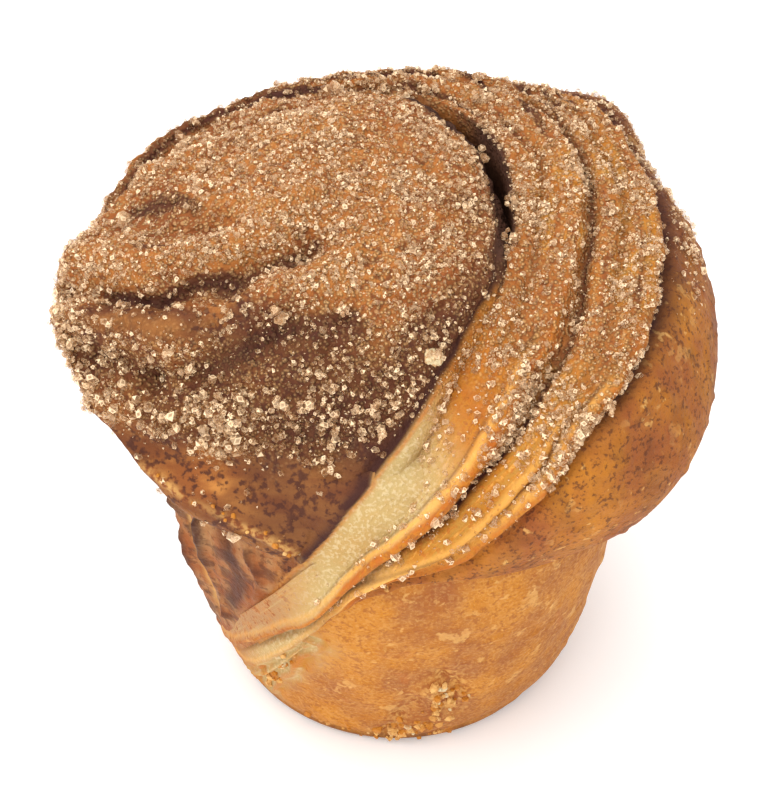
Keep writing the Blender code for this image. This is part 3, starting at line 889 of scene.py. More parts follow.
def random_turns(count, draw):
    """Random rotations, one matrix each."""
    q = draw.normal(size=(count, 4))
    q /= length(q, axis=1, keepdims=True)
    w, x, y, z = q.T
    return np.stack([
        np.stack([1 - 2 * (y * y + z * z), 2 * (x * y - z * w), 2 * (x * z + y * w)], -1),
        np.stack([2 * (x * y + z * w), 1 - 2 * (x * x + z * z), 2 * (y * z - x * w)], -1),
        np.stack([2 * (x * z - y * w), 2 * (y * z + x * w), 1 - 2 * (x * x + y * y)], -1),
    ], 1)


# A crystal: a box with every corner cut, twelve points.
TIPS = np.array([
    (x, y, z) for x in (-1, 0, 1) for y in (-1, 0, 1) for z in (-1, 0, 1) if abs(x) + abs(y) + abs(z) == 2
], float) / 2


def crystal_faces():
    """Square faces, then corner faces, of the cut box, wound outward."""
    squares, corners = [], []
    for axis in range(3):
        for way in (-0.5, 0.5):
            ring = [i for i, tip in enumerate(TIPS) if tip[axis] == way]
            squares.append(wound(ring))
    for x in (-1, 1):
        for y in (-1, 1):
            for z in (-1, 1):
                ring = [i for i, tip in enumerate(TIPS) if tip @ (x, y, z) == 1.0]
                corners.append(wound(ring))
    return np.array(squares), np.array(corners)


def wound(ring):
    """The points of a face in turn, seen from outside."""
    middle = TIPS[ring].mean(axis=0)
    out = middle / length(middle)
    side = TIPS[ring[0]] - middle
    rise = np.cross(out, side)
    return sorted(ring, key=lambda i: math.atan2((TIPS[i] - middle) @ rise, (TIPS[i] - middle) @ side))


surfaces = {}
cover = {}


def amount(name, description, default):
    return FloatProperty(name=name, description=description, default=default, min=0.0)


def count_of(name, description, default):
    return IntProperty(name=name, description=description, default=default, min=0)


def colour(name, description, default):
    return FloatVectorProperty(
        name=name, description=description, subtype="COLOR", size=3, min=0.0, max=1.0, default=default
    )


class CoilLook(PropertyGroup):
    lump_height: amount("Lump height", "Uneven rise of the coil, in millimetres", 0.45)
    grit_height: amount("Grit height", "Roughness of the sugared crust, in millimetres", 0.2)


class WrapLook(PropertyGroup):
    leaf_wobble: amount("Leaf wobble", "Wander of the folded edges, in millimetres", 0.45)
    blister_height: amount("Blister height", "Rise of the small blisters, in millimetres", 0.16)


class CupLook(PropertyGroup):
    dimple_depth: amount("Dimple depth", "Depth of the cup's dimples, in millimetres", 0.22)


class FlakeLook(PropertyGroup):
    flake_count: count_of("Flakes", "How many flakes cling to the torn crust", 150)
    flake_size: amount("Flake size", "Mean side of a flake, in millimetres", 1.0)
    seed: count_of("Seed", "Seed of the random draws", 8)


class SugarLook(PropertyGroup):
    coarse_count: count_of("Coarse crystals", "How many coarse crystals lie on the crust", 9500)
    fine_count: count_of("Fine crystals", "How many fine crystals lie on the crust", 22000)
    coarse_size: amount("Coarse size", "Mean side of a coarse crystal, in millimetres", 0.52)
    fine_size: amount("Fine size", "Mean side of a fine crystal, in millimetres", 0.30)
    seed: count_of("Seed", "Seed of the random draws", 3)


class BakedColours(PropertyGroup):
    gold: colour("Gold", "Golden crust of the cup", (0.50, 0.182, 0.017))
    # Also painted light on the crests of the leaves below the coil.
    straw: colour("Straw", "Pale flecks of the crust", (0.70, 0.39, 0.12))
    russet: colour("Russet", "Browned crust of the wall", (0.29, 0.083, 0.021))
    # Also painted shade in the coil's grooves, with its dark tones.
    umber: colour("Umber", "Dark mottle of the crust", (0.085, 0.026, 0.013))
    cinnamon: colour("Cinnamon", "Cinnamon crust of the coil", (0.27, 0.083, 0.020))
    # Also painted light on the crests.
    tan: colour("Tan", "Lighter crust of the coil", (0.50, 0.20, 0.045))
    # Dark cinnamon, and also the painted shade of the creases, the grooves and the wall's top under the ring.
    plum_and_shade: colour("Plum", "Dark cinnamon in the folds", (0.055, 0.018, 0.013))
    cream: colour("Cream", "Pale crumb of the cut strip", (0.48, 0.34, 0.140))
    milk: colour("Milk", "Palest specks of the cut strip", (0.66, 0.54, 0.32))
    peach: colour("Peach", "Toasted end of the cut strip", (0.39, 0.195, 0.077))
    butter: colour("Butter", "Yellow crumb between the folds", (0.47, 0.225, 0.038))
    # Partly the leaf's golden edge, partly a painted highlight on its crest.
    amber: colour("Amber", "Bright edge of a folded leaf", (0.80, 0.40, 0.085))
    orange: colour("Orange", "Baked side of a folded leaf", (0.46, 0.125, 0.016))
    # Painted shade deep in the gap, over dark cinnamon.
    gap: colour("Gap", "Deep inside the gap", (0.070, 0.028, 0.016))
    dust: colour("Dust", "Fine sugar caught in the crust", (0.74, 0.44, 0.19))
    # Painted highlight on a crystal's edges and glinting faces; also the paler crystals' own tint.
    sugar_pale_and_highlight: colour("Sugar rim", "Bright edges of a crystal", (0.95, 0.70, 0.43))
    sugar_heart: colour("Sugar heart", "Warm middle of a crystal", (0.42, 0.18, 0.052))


class StageLook(PropertyGroup):
    floor: colour("Floor", "Colour of the floor", (0.97, 0.97, 0.965))
    key_power: amount("Key power", "Power of the overhead light, in watts", 4.6)
    fill_power: amount("Fill power", "Power of the front light, in watts", 1.3)
    glow: amount("Floor glow", "Light that the floor gives back, as from a light table", 0.12)
    sky: amount("Sky", "Strength of the even white light", 0.88)


LOOKS = {
    "cruffin_coil": CoilLook,
    "cruffin_wrap": WrapLook,
    "cruffin_cup": CupLook,
    "cruffin_flakes": FlakeLook,
    "cruffin_sugar": SugarLook,
    "cruffin_colours": BakedColours,
    "cruffin_stage": StageLook,
}


def crust_finish(name, c):
    """Baked crust: three grounds, the cut layers over them, then folds, creases and gap with painted light
    and shade, and sugar.
    """
    f = Finish(name)
    masks = (
        "cinnamon", "wall", "tone", "fold", "pale", "peach", "yolk", "leaf", "ember",
        "crease", "leafy", "sugared", "gap", "torn", "rim", "along", "across",
    )
    m = {key: f.mask(key) for key in masks}
    broad, mottle, speck, pore, drag, hang = (f.noise(*noise) for noise in NOISES.values())
    fibres = f.noise(0.62, 4.0, place=f.joined(m["along"] * 0.10, m["across"], 0.0))
    chipped = f.moved(0.0022, 0.006)
    dash = f.cells(DASH_SIDE, chipped).step(0.25, 0.17) * broad.step(0.38, 0.50)
    dot = f.cells(DOT_SIDE, chipped).step(0.24, 0.13) * hang.step(0.42, 0.56)
    sand = f.cells(SAND_SIDE).step(0.60, 0.12)
    grit = f.cells(GRIT_SIDE).step(0.58, 0.15)
    spots = (mottle * 0.5 + speck * 0.55).step(0.52, 0.60)
    freckles = (speck * 0.7 + mottle * 0.35).step(0.565, 0.62)
    fine = (pore * 0.6 + speck * 0.4).step(0.54, 0.61)
    # Dark tones are partly painted shade in the grooves, and golden ones partly painted light on the crests.
    dark = m["tone"]
    light = 0.0 - dark
    # The fold's relief: painted light on the crests, painted shade where sunk in the grooves.
    raised = m["fold"]
    sunk_shaded = 0.0 - raised

    gold = laid(
        (broad * 0.9 + hang * 0.25).step(0.44, 0.74).blend(c.gold, c.russet),
        (mottle.step(0.30, 0.70) * 0.17, c.straw),
        ((dash * (0.25 + 0.6 * speck) + dot * 0.5).limit(), c.straw),
        (freckles * 0.25 + fine * 0.35, c.russet),
        ((1.0 - pore).step(0.52, 0.62) * 0.2, c.straw),
        ((hang * 0.6 + mottle * 0.4).step(0.56, 0.70) * 0.4, c.orange),
    )
    wall = laid(
        (broad * 0.7 + hang * 0.5).step(0.45, 0.80).blend(c.russet, c.gold),
        ((mottle * 0.5 + hang * 0.5).step(0.44, 0.64) * 0.36, c.umber),
        (drag.step(0.50, 0.72) * 0.3, c.tan),
        # The wall's dark tone, partly painted shade below the ring's outer crease.
        ((dark.step(0.0, 1.0) * (0.24 + 0.52 * hang)).limit(), c.plum_and_shade),
        ((dot * 0.65 + dash * 0.3).limit(), c.straw),
        ((freckles * 0.25 + fine * 0.45).limit(), c.umber),
    )
    coil = laid(
        (broad * 0.4 + drag * 0.7).step(0.45, 0.66).blend(c.cinnamon, c.tan),
        # Dark tones, partly painted shade in the grooves, and golden ones, partly painted light on the
        # crests.
        (dark.step(0.0, 1.0) * 0.75, c.umber),
        (light.step(0.0, 1.1) * (0.35 + 0.6 * drag), c.tan),
        (spots * 0.75, c.umber),
        (freckles * 0.5, c.plum_and_shade),
    )
    leafy = laid(
        (hang * 0.6 + mottle * 0.4).step(0.40, 0.62).blend(c.russet, c.peach),
        (drag.step(0.50, 0.62) * 0.6, c.plum_and_shade),
        # Painted light on the leaves' crests, painted shade in their grooves.
        (raised.step(0.1, 0.9) * 0.7, c.straw),
        ((sunk_shaded.step(0.1, 1.2) * (0.5 + 0.6 * mottle)).limit(), c.plum_and_shade),
        (freckles * 0.5, c.umber),
    )
    yolk = laid(
        (fibres * 0.7 + mottle * 0.4).step(0.42, 0.66).blend(c.butter, c.gold),
        (fibres.step(0.50, 0.62) * speck.step(0.40, 0.60) * 0.7, c.amber),
        ((freckles * 0.3 + fine * 0.35).limit(), c.orange),
    )
    peach = laid(
        (mottle * 0.5 + speck * 0.5).step(0.42, 0.66).blend(c.peach, c.tan),
        (fibres.step(0.50, 0.64) * 0.45, c.cream),
        ((freckles * 0.55 + fine * 0.5).limit(), c.russet),
    )
    buttery = (pore * 0.6 + speck * 0.4).step(0.46, 0.62) * 0.4
    buttery = buttery + (broad * 0.5 + fibres * 0.5).step(0.45, 0.65) * 0.4
    pale = laid(c.cream, (buttery.limit(), c.butter), (pore.step(0.46, 0.64) * 0.6, c.milk))
    ember = laid(
        (mottle * 0.5 + speck * 0.5).step(0.42, 0.58).blend(c.orange, c.gold),
        ((freckles * 0.6 + fibres.step(0.52, 0.62) * 0.5).limit(), c.russet),
    )
    # Leaf edges: golden crust with a painted highlight on the crest.
    leaf = (fibres.step(0.45, 0.6) * 0.5).blend(c.amber, c.straw)
    torn = speck.step(0.4, 0.6).blend(c.straw, c.russet)

    sugared = m["sugared"] * (1.0 - 0.85 * m["crease"]) * (1.0 - 0.6 * dark.step(0.9, 2.0))
    between = dark.step(-0.3, 0.9).blend(c.russet, c.umber)
    bare = (1.0 - 0.35 * light.step(0.2, 1.0)) * (1.0 - 0.6 * m["yolk"])
    dusty = sand * 0.66 + grit.step(0.5, 0.9) * speck.step(0.45, 0.6) * 0.4
    crust = laid(
        m["wall"].blend(gold, wall),
        (m["cinnamon"].limit(), coil),
        # The darkest tones: painted shade deep in the grooves.
        ((dark.step(0.9, 2.2) * (0.3 + 0.9 * speck)).limit(), c.plum_and_shade),
        # Painted light on the crests and painted shade in the grooves, over the cut layers' own stripes on
        # the cup.
        (raised.step(0.2, 1.4) * 0.5, c.tan),
        (sunk_shaded.step(0.2, 2.4) * 0.45, c.plum_and_shade),
        (m["leafy"], leafy),
        (m["yolk"], yolk),
        (m["peach"], peach),
        (m["pale"], pale),
        (m["ember"], ember),
        ((m["leaf"] * (0.45 + 0.9 * speck)).limit(), leaf),
        # Creases: dark cinnamon with painted shade where the folds and the coil's hem tuck in.
        ((m["crease"] * (0.85 + 0.5 * mottle)).limit(), c.plum_and_shade),
        (m["torn"] * 0.75, torn),
        ((m["rim"] * (0.35 + 0.6 * mottle)).limit(), c.umber),
        ((sugared * (0.62 - 0.8 * sand) * bare).limit(), between),
        (sugared * (1.0 - 0.55 * dark.step(0.0, 1.0)) * dusty, c.dust),
        # Painted shade deep in the gap, over dark cinnamon.
        (m["gap"], c.gap),
    )
    height = (sand * 0.8 + grit * 0.5) * m["sugared"] + speck * 0.5 + pore * 0.3 + mottle * 0.6
    return f.feed(
        Base_Color=crust,
        Roughness=0.50 + 0.25 * speck + 0.15 * m["sugared"],
        Specular_IOR_Level=0.13,
        Normal=f.bump(height, 0.0004),
    )


def crystal_finish(name, c, heart, rim):
    """Warm sugar: see-through in the middle of a face, with painted highlights at its edges and on glinting
    faces.
    """
    f = Finish(name)
    tone = f.mask("tone")
    face = f.start.node("ShaderNodeUVMap", {"uv_map": "face"})
    u = f.start.node("ShaderNodeSeparateXYZ", {}, {0: face})
    v = Shade(f.tree, u.socket.node.outputs[1])
    side = u.maths("ABSOLUTE", u - 0.5)
    tall = v.maths("ABSOLUTE", v - 0.5)
    # Painted highlights: the edges of the square faces, and the faces picked to glint.
    edge = side.maths("MAXIMUM", side, tall).step(0.12, 0.48)
    glint = f.mask("glint").step(0.62, 0.90)
    bright = (edge * 0.22 + glint * (0.45 + 0.4 * edge)).limit()
    warm = (tone.step(0.3, 1.0) * 0.5).blend(c.sugar_heart, c.sugar_pale_and_highlight)
    clear = heart + (rim - heart) * bright + 0.15 * tone.step(0.84, 1.0)
    return f.feed(
        Base_Color=bright.blend(warm, c.sugar_pale_and_highlight), Roughness=0.06 + 0.15 * tone, IOR=1.5, Alpha=clear.limit()
    )


def grain_finish(name, c):
    """Fine sugar dust: plain warm grains, with a painted highlight on some faces."""
    f = Finish(name)
    tone = f.mask("tone")
    shine = f.mask("glint").step(0.60, 0.90)
    body = shine.blend(c.sugar_heart, c.sugar_pale_and_highlight)
    return f.feed(Base_Color=body, Roughness=0.25, IOR=1.5, Alpha=0.10 + 0.15 * tone + 0.5 * shine)


def flake_finish(name, c):
    """Crisp flakes and crumbs: golden, with paler and browner sides."""
    f = Finish(name)
    tone = f.mask("tone")
    speck = f.noise(0.0007, 3.0)
    body = tone.step(0.35, 0.60).blend(c.gold, c.straw)
    body = tone.step(0.85, 0.95).blend(body, c.milk)
    body = (speck.step(0.48, 0.62) * 0.6).blend(body, c.tan)
    return f.feed(
        Base_Color=body, Roughness=0.5 + 0.2 * speck, Specular_IOR_Level=0.2, Normal=f.bump(speck, 0.0003)
    )


def tail_crumb(points):
    """Pale layered crumb that trails down to the foot."""
    near = bell(line_distance(points, TAIL_LINE) + 0.6 * grain(points, 2.0), 2.6)
    return held(near * (1.5 + 0.6 * grain(points, 1.4)))


def azimuth_of(points):
    return np.degrees(np.arctan2(points[..., 1], points[..., 0]))


def coil_tone(points):
    """Broad dark (above 0) and golden (below 0) tones of the coil's crust: its own tone, with painted shade
    in the grooves and painted light on the crests; darker low on the dome and more golden at the crown.
    """
    height = points[..., 2]
    rise = 0.75 * ease(66.0, 56.0, height) - 0.7 * ease(66.5, 70.5, height)
    return fold_relief(points + astray(points, 5.5), COIL_TONES) + 0.35 * grain(points, 6.0) + rise


def strip_masks(points):
    """Height over the coil's hem, the dark crease along it (painted shade under the coil's edge) and the
    tints under it.
    """
    azimuth = azimuth_of(points)
    rows = np.array(HEM, float)
    above = points[..., 2] - np.interp(azimuth, rows[:, 0], rows[:, 1]) + 0.12 * grain(points, 2.0)
    strip = ease(0.2, -0.3, above) * shown("strip", azimuth)
    gap = line_distance(points, HEM_LINE)
    crease = bell(gap - 0.3, 0.7 + 0.5 * ease(50.0, 58.0, points[..., 2])) * ease(-0.5, 0.2, above)
    return above, strip, crease, {
        "pale": strip * shown("pale", azimuth),
        "peach": strip * shown("peach", azimuth),
        "yolk": 0.9 * strip * shown("yolk", azimuth),
        "ember": strip * most(0.7 * bell(above + 0.5, 0.45), 0.45 * shown("ember", azimuth)),
    }


class CRUFFIN_OT_coil(Operator):
    """Makes the domed coil with its folds and gritty crust"""

    bl_idname = "cruffin.coil"
    bl_label = "Coil"

    def execute(self, context):
        look = context.scene.cruffin_coil
        fall = coil_falls(COIL_SHOWN, COIL_HIDDEN)
        plain = coil_points(COIL_TURNS, fall)
        normal = outward(plain, True)
        fold = fold_relief(plain + astray(plain, 5.5, 0.7), COIL_FOLDS)
        above, strip, crease, masks = strip_masks(plain)
        skirt = line_distance(plain, SKIRT_LINE)
        tone = coil_tone(plain + normal * fold[..., None])
        start = SUGAR_FROM + SUGAR_FROM_MORE * ease(-9.0, 1.0, plain[..., 0])
        ragged = plain[..., 2] + SUGAR_RAGGED * grain(plain, 2.6)
        sugared = ease(start + SUGAR_EDGE[0], start + SUGAR_EDGE[1], ragged) * ease(*SUGAR_LAST, fall)
        sugared = sugared * (1.0 - masks["pale"]) * (1.0 - 0.7 * crease)
        grit = grain.rough(plain, 1.6, 2) * (0.4 + sugared) + 0.5 * grain(plain, 0.8) * sugared
        calm = ease(*COIL_RELIEF_LAST, fall)
        fine = look.lump_height * grain(plain, 7.0) + look.grit_height * grit
        fine = (fine - 0.7 * crease + 0.3 * bell(skirt, 0.7)) * calm
        points = plain + normal * (fold + fine)[..., None]
        across = points[..., 0] - COIL_AXIS[0]
        back = points[..., 1] - COIL_AXIS[1]
        # Dark where the coil faces the wrap across the gap: painted shade over dark cinnamon.
        gap = ease(*GAP_RADII, np.hypot(across, back) + 0.3 * grain(plain, 2.0))
        gap = gap * shown("coil gap", np.degrees(np.arctan2(back, across)))
        bulge = bell(line_distance(plain, BULGE_LINE), BULGE_WIDTH)
        masks.update({
            "fold": fold, "tone": tone, "sugared": sugared * (1.0 - 0.8 * bulge), "gap": gap,
            "crease": crease * 0.9, "cinnamon": 1.0 - strip, "torn": 0.9 * bell(skirt - 0.1, 0.55),
        })
        masks = {key: np.append(values.ravel(), (values[:, 0].mean(), 0.0)) for key, values in masks.items()}
        turns, rows = points.shape[:2]
        bottom = (*COIL_AXIS, COIL_BOTTOM)
        flat = np.vstack([points.reshape(-1, 3), points[:, 0].mean(axis=0), bottom])
        quads = ring_corners(turns, rows)
        i = np.arange(turns) * rows
        n = np.roll(i, -1)
        crown_at = np.full(turns, turns * rows)
        top = np.stack([crown_at, n, i], -1)
        low = np.stack([crown_at + 1, i + rows - 1, n + rows - 1], -1)
        corners = np.concatenate([quads.ravel(), top.ravel(), low.ravel()])
        sizes = np.concatenate([np.full(len(quads), 4), np.full(2 * turns, 3)])
        piece = mesh_object("coil", flat, corners, sizes, masks)
        dress(piece, crust_finish("coil_crust", context.scene.cruffin_colours))
        thick = sugared * (1.0 - gap) * (1.0 - 0.85 * bulge)
        thick = thick * (0.4 + 0.6 * ease(-0.9, 0.5, fold + 0.5 * grain(plain, 3.0)))
        thick = thick * (1.0 + 0.5 * bell(length(plain - np.array(HEAP), axis=-1), HEAP_WIDTH))
        thick = thick * (1.0 - 0.5 * ease(0.3, 1.2, tone) + 0.35 * ease(0.0, -1.0, tone))
        surfaces["coil"] = points
        cover["coil"] = thick + 0.02 * (above > 1.0) * calm
        return {"FINISHED"}


def wrap_places():
    """Places along the wrap's section, closer together at the folds."""
    fine = np.linspace(0.0, 7.0, 1401)
    density = 0.5 + 2.2 * bell(fine - 1.1, 0.3) + 2.2 * bell(fine - 2.1, 0.3) + 0.7 * (fine < 4.1)
    density *= np.where(fine > 4.2, 0.45, 1.0)
    total = np.concatenate([[0.0], np.cumsum(density[1:])])
    return np.interp(np.arange(WRAP_ROWS) * total[-1] / WRAP_ROWS, total, fine)


def leaf_edge(past, width, start, end):
    """Rise of a folded leaf: a slow swell up to its edge, then a drop."""
    return np.where(past < 0, bell(past, width), ease(end, start, past))


class WrapGrid:
    """Plain wrap: each point's azimuth, place, length along and past the folds."""

    def __init__(self, wobble):
        self.places = wrap_places()
        self.angles, relief, self.sections = wrap_sections(WRAP_TURNS, self.places)
        self.relief = [column[:, None] for column in relief.T]
        self.base = swing(self.angles, self.sections, np.zeros(self.sections.shape[:2]))
        self.run = np.array([section_run(section) for section in self.sections])
        self.angle = np.broadcast_to(self.angles[:, None], self.run.shape)
        self.place = np.broadcast_to(self.places[None, :], self.run.shape)
        self.wobble = wobble * (grain(self.base, 9.0) + 0.5 * grain(self.base, 3.0))
        self.inner = self.past(1.0)
        self.outer = self.past(2.0)
        self.middle = self.past(MIDDLE_LEAF)
        self.furrows = self.relief[4] * sum(bell(self.past(place, 1.5), 0.8) for place in FURROWS)
        self.calm = ease(*WRAP_RELIEF_LAST, self.place)
        self.wall = ease(*WALL_FIRST, self.place)
        course = [np.radians(self.angle) * WRAP_RADIUS * 0.09, self.run + 0.5 * self.wobble, 0.0 * self.run]
        course = np.stack(course, -1)
        self.streaks = grain(course, 1.0) + 0.5 * grain(course, 0.5)
        self.edge = ease(*SPANS["sugar"], self.angle + 8.0 * grain(self.base, 5.0))
        self.top = ease(*WRAP_TOP_LAST, self.place)
        self.sugared = self.top * self.edge * self.shown("sugar end")

    def past(self, place, wobbles=1.0):
        """Length along the section past a place, wandering with the leaves."""
        start = np.array([np.interp(place, self.places, run) for run in self.run])
        return self.run - start[:, None] + wobbles * self.wobble

    def shown(self, name):
        return shown(name, self.angle)

    def rise(self, blister_height):
        """Folds, creases, furrows, blisters and grit."""
        crest_1, crease_1, crest_2, crease_2, _ = self.relief
        ragged = 1.0 + 0.5 * grain(self.base, 2.2)
        rise = crest_1 * ragged * leaf_edge(self.inner, 1.5, 0.1, 1.2)
        rise += crest_2 * ragged * leaf_edge(self.outer, 1.4, 0.1, 1.1)
        rise -= crease_1 * bell(self.inner - 1.8, 0.85) + crease_2 * bell(self.outer - 1.8, 0.85)
        middle = leaf_edge(self.middle, 1.0, 0.0, 0.6) - bell(self.middle - 0.9, 0.5)
        rise += 0.6 * self.shown("front") * middle - self.furrows
        blister = held(grain(self.base, 1.5) - 0.45) * 2.2
        rise += self.wall * (0.35 * grain(self.base, 8.0) + blister_height * blister)
        rise += self.sugared * (0.2 * grain.rough(self.base, 1.6, 2) + 0.12 * grain(self.base, 0.8))
        return rise * self.calm

    def layers(self):
        """Where each colour of cut crumb and baked leaf shows."""
        tail = self.shown("tail")
        strip = ease(-0.1, -0.7, self.inner) * self.calm * self.shown("inner")
        between = ease(0.9, 1.8, self.inner) * ease(0.1, -0.5, self.outer) * self.shown("between")
        ring = most(
            ease(2.4, 3.6, self.inner) * ease(0.2, -0.6, self.outer),
            self.edge * (self.place > 0.4) * (self.outer < -0.5),
        )
        patches = ease(-0.1, 0.5, grain(self.base, 4.0) - self.streaks) * self.shown("patches")
        crumb = tail_crumb(self.base) * ease(1.5, 2.2, self.place)
        # The leaves' bright edges: partly golden crust, partly a painted highlight on the crest.
        leaf = bell(self.inner + 1.3, 0.5) + bell(self.outer + 1.0, 0.5)
        leaf = leaf + 0.8 * self.shown("front") * bell(self.middle + 0.5, 0.45)
        ember = held(bell(self.inner + 0.1, 0.85) + 0.85 * bell(self.outer + 0.1, 0.7))
        return {
            "pale": most(
                strip * self.shown("pale"),
                0.9 * between * self.shown("pale between"),
                0.9 * crumb * ease(-0.6, 0.2, grain(self.base, 1.8)),
            ),
            "peach": strip * self.shown("peach"),
            "yolk": most(
                between * (1.0 - 0.5 * tail), strip * self.shown("yolk inner"), 0.9 * ring * patches, crumb
            ),
            "leaf": held(leaf) * self.shown("leaf") * (1.0 - 0.6 * tail),
            "ember": most(
                ember * self.shown("inner") * (1.0 - 0.7 * tail), 0.7 * strip * self.shown("ember inner")
            ),
        }

    def creases(self):
        """Dark cinnamon and painted shade along the folds, creases and furrows."""
        ring = self.shown("ring")
        crease = bell(self.inner - 2.0, 0.5 + 0.3 * ring) * (0.3 + 0.7 * self.shown("crease") - 0.2 * ring)
        crease += 0.95 * bell(self.outer - 1.5, 1.1) * self.shown("outer crease")
        crease += 0.7 * bell(self.outer + 1.6, 0.35) * self.shown("lip crease") * (0.5 + self.streaks)
        crease += 0.6 * self.furrows
        hairs = bell(self.inner + 2.1, 0.22) + bell(self.outer + 1.7, 0.25)
        crease += 0.45 * hairs * self.shown("hairlines")
        crease = held(crease * (1.0 - 0.6 * self.shown("back"))) * self.calm
        return most(crease, 0.9 * self.shown("back crease") * bell(self.run - 0.8, 1.1))

    def tones(self):
        """Dark (above 0) and golden (below 0) tones of ring and wall; the dark at the wall's top is painted
        shade below the ring's outer crease.
        """
        ring = 1.7 * self.streaks - 0.9 + 1.5 * self.shown("dusk") - 0.7 * self.shown("golden")
        # Painted shade below the ring's outer crease.
        wall = 1.2 * bell(self.outer - 2.0, 2.4) * self.shown("dark wall top")
        wall = wall + 0.6 * self.shown("brown wall")
        return self.sugared * ring + self.wall * (1.0 - self.sugared) * wall

    def sugar(self, heights, crease):
        """How thick the sugar lies."""
        stray = 0.05 * self.shown("stray") * self.top
        stray = stray + 0.10 * self.wall * ease(56.0, 60.0, heights) * self.shown("wall stray")
        sweet = 0.46 * self.sugared * (1.0 - 0.85 * crease) * (1.0 - 0.6 * ease(0.2, 0.7, self.streaks))
        sweet = sweet * (0.4 + 0.8 * ease(-0.4, 0.4, grain(self.base, 3.5)))
        sweet = sweet * (1.0 - 0.35 * self.shown("thin sugar"))
        return most(sweet, stray) + 0.3 * bell(self.inner - 0.4, 1.6) * self.shown("drift")


class CRUFFIN_OT_wrap(Operator):
    """Makes the layered wrap with its leaf edges and browned wall"""

    bl_idname = "cruffin.wrap"
    bl_label = "Wrap"

    def execute(self, context):
        look = context.scene.cruffin_wrap
        grid = WrapGrid(look.leaf_wobble)
        points = swing(grid.angles, grid.sections, grid.rise(look.blister_height))
        crease = grid.creases()
        place = grid.place
        # Dark deep in the gap, round the root and inside the lip: painted shade over dark cinnamon.
        deep = held(ease(*ROOT_DARK, place) * (place > ROOT_FIRST) + ease(*LIP_DARK, place))
        spice = held(0.15 + 1.3 * grid.streaks + 0.6 * grid.shown("cinnamon"))
        masks = grid.layers()
        masks.update({
            "crease": crease, "wall": most(grid.wall, 0.25 * grid.sugared), "sugared": grid.sugared,
            "gap": deep * grid.shown("wrap gap"), "along": np.radians(grid.angle) * WRAP_RADIUS,
            "across": grid.run, "tone": grid.tones(), "cinnamon": grid.sugared * spice,
        })
        turns, rows = points.shape[:2]
        quads = ring_corners(turns, rows, closed_rows=True)[:(turns - 1) * rows]
        start = np.arange(rows)
        end = start[::-1] + (turns - 1) * rows
        corners = np.concatenate([quads.ravel(), start, end])
        sizes = np.concatenate([np.full(len(quads), 4), [rows, rows]])
        piece = mesh_object("wrap", points.reshape(-1, 3), corners, sizes, masks)
        dress(piece, crust_finish("wrap_crust", context.scene.cruffin_colours))
        keep = grid.places < 3.2
        surfaces["wrap"] = points[:, keep]
        cover["wrap"] = grid.sugar(points[..., 2], crease)[:, keep]
        return {"FINISHED"}


def cup_grid():
    """Plain cup: a grid of points, turn by row, from the middle of its base up."""
    rings = np.array(CUP_RINGS, float)
    top = rings[-1, 0]
    heights = np.concatenate([np.zeros(BASE_ROWS), np.linspace(0.0, 52.0, CUP_ROWS), (53.2, top)])
    radii = through(rings[:, 0], rings[:, 1:], heights)[:, 0]
    radii[:BASE_ROWS] = np.linspace(0.6, radii[BASE_ROWS], BASE_ROWS + 1)[:-1]
    a = np.arange(CUP_TURNS) * 2.0 * math.pi / CUP_TURNS
    lobes = sum(rise * np.cos(count * a + turn) for count, rise, turn in CUP_LOBES)
    radius = radii[None, :] + lobes[:, None] * ease(0.5, 8.0, heights)[None, :]
    across = CUP_AXIS[0] + np.cos(a)[:, None] * radius
    back = CUP_AXIS[1] + np.sin(a)[:, None] * radius
    return np.stack([across, back, np.broadcast_to(heights, radius.shape)], -1)


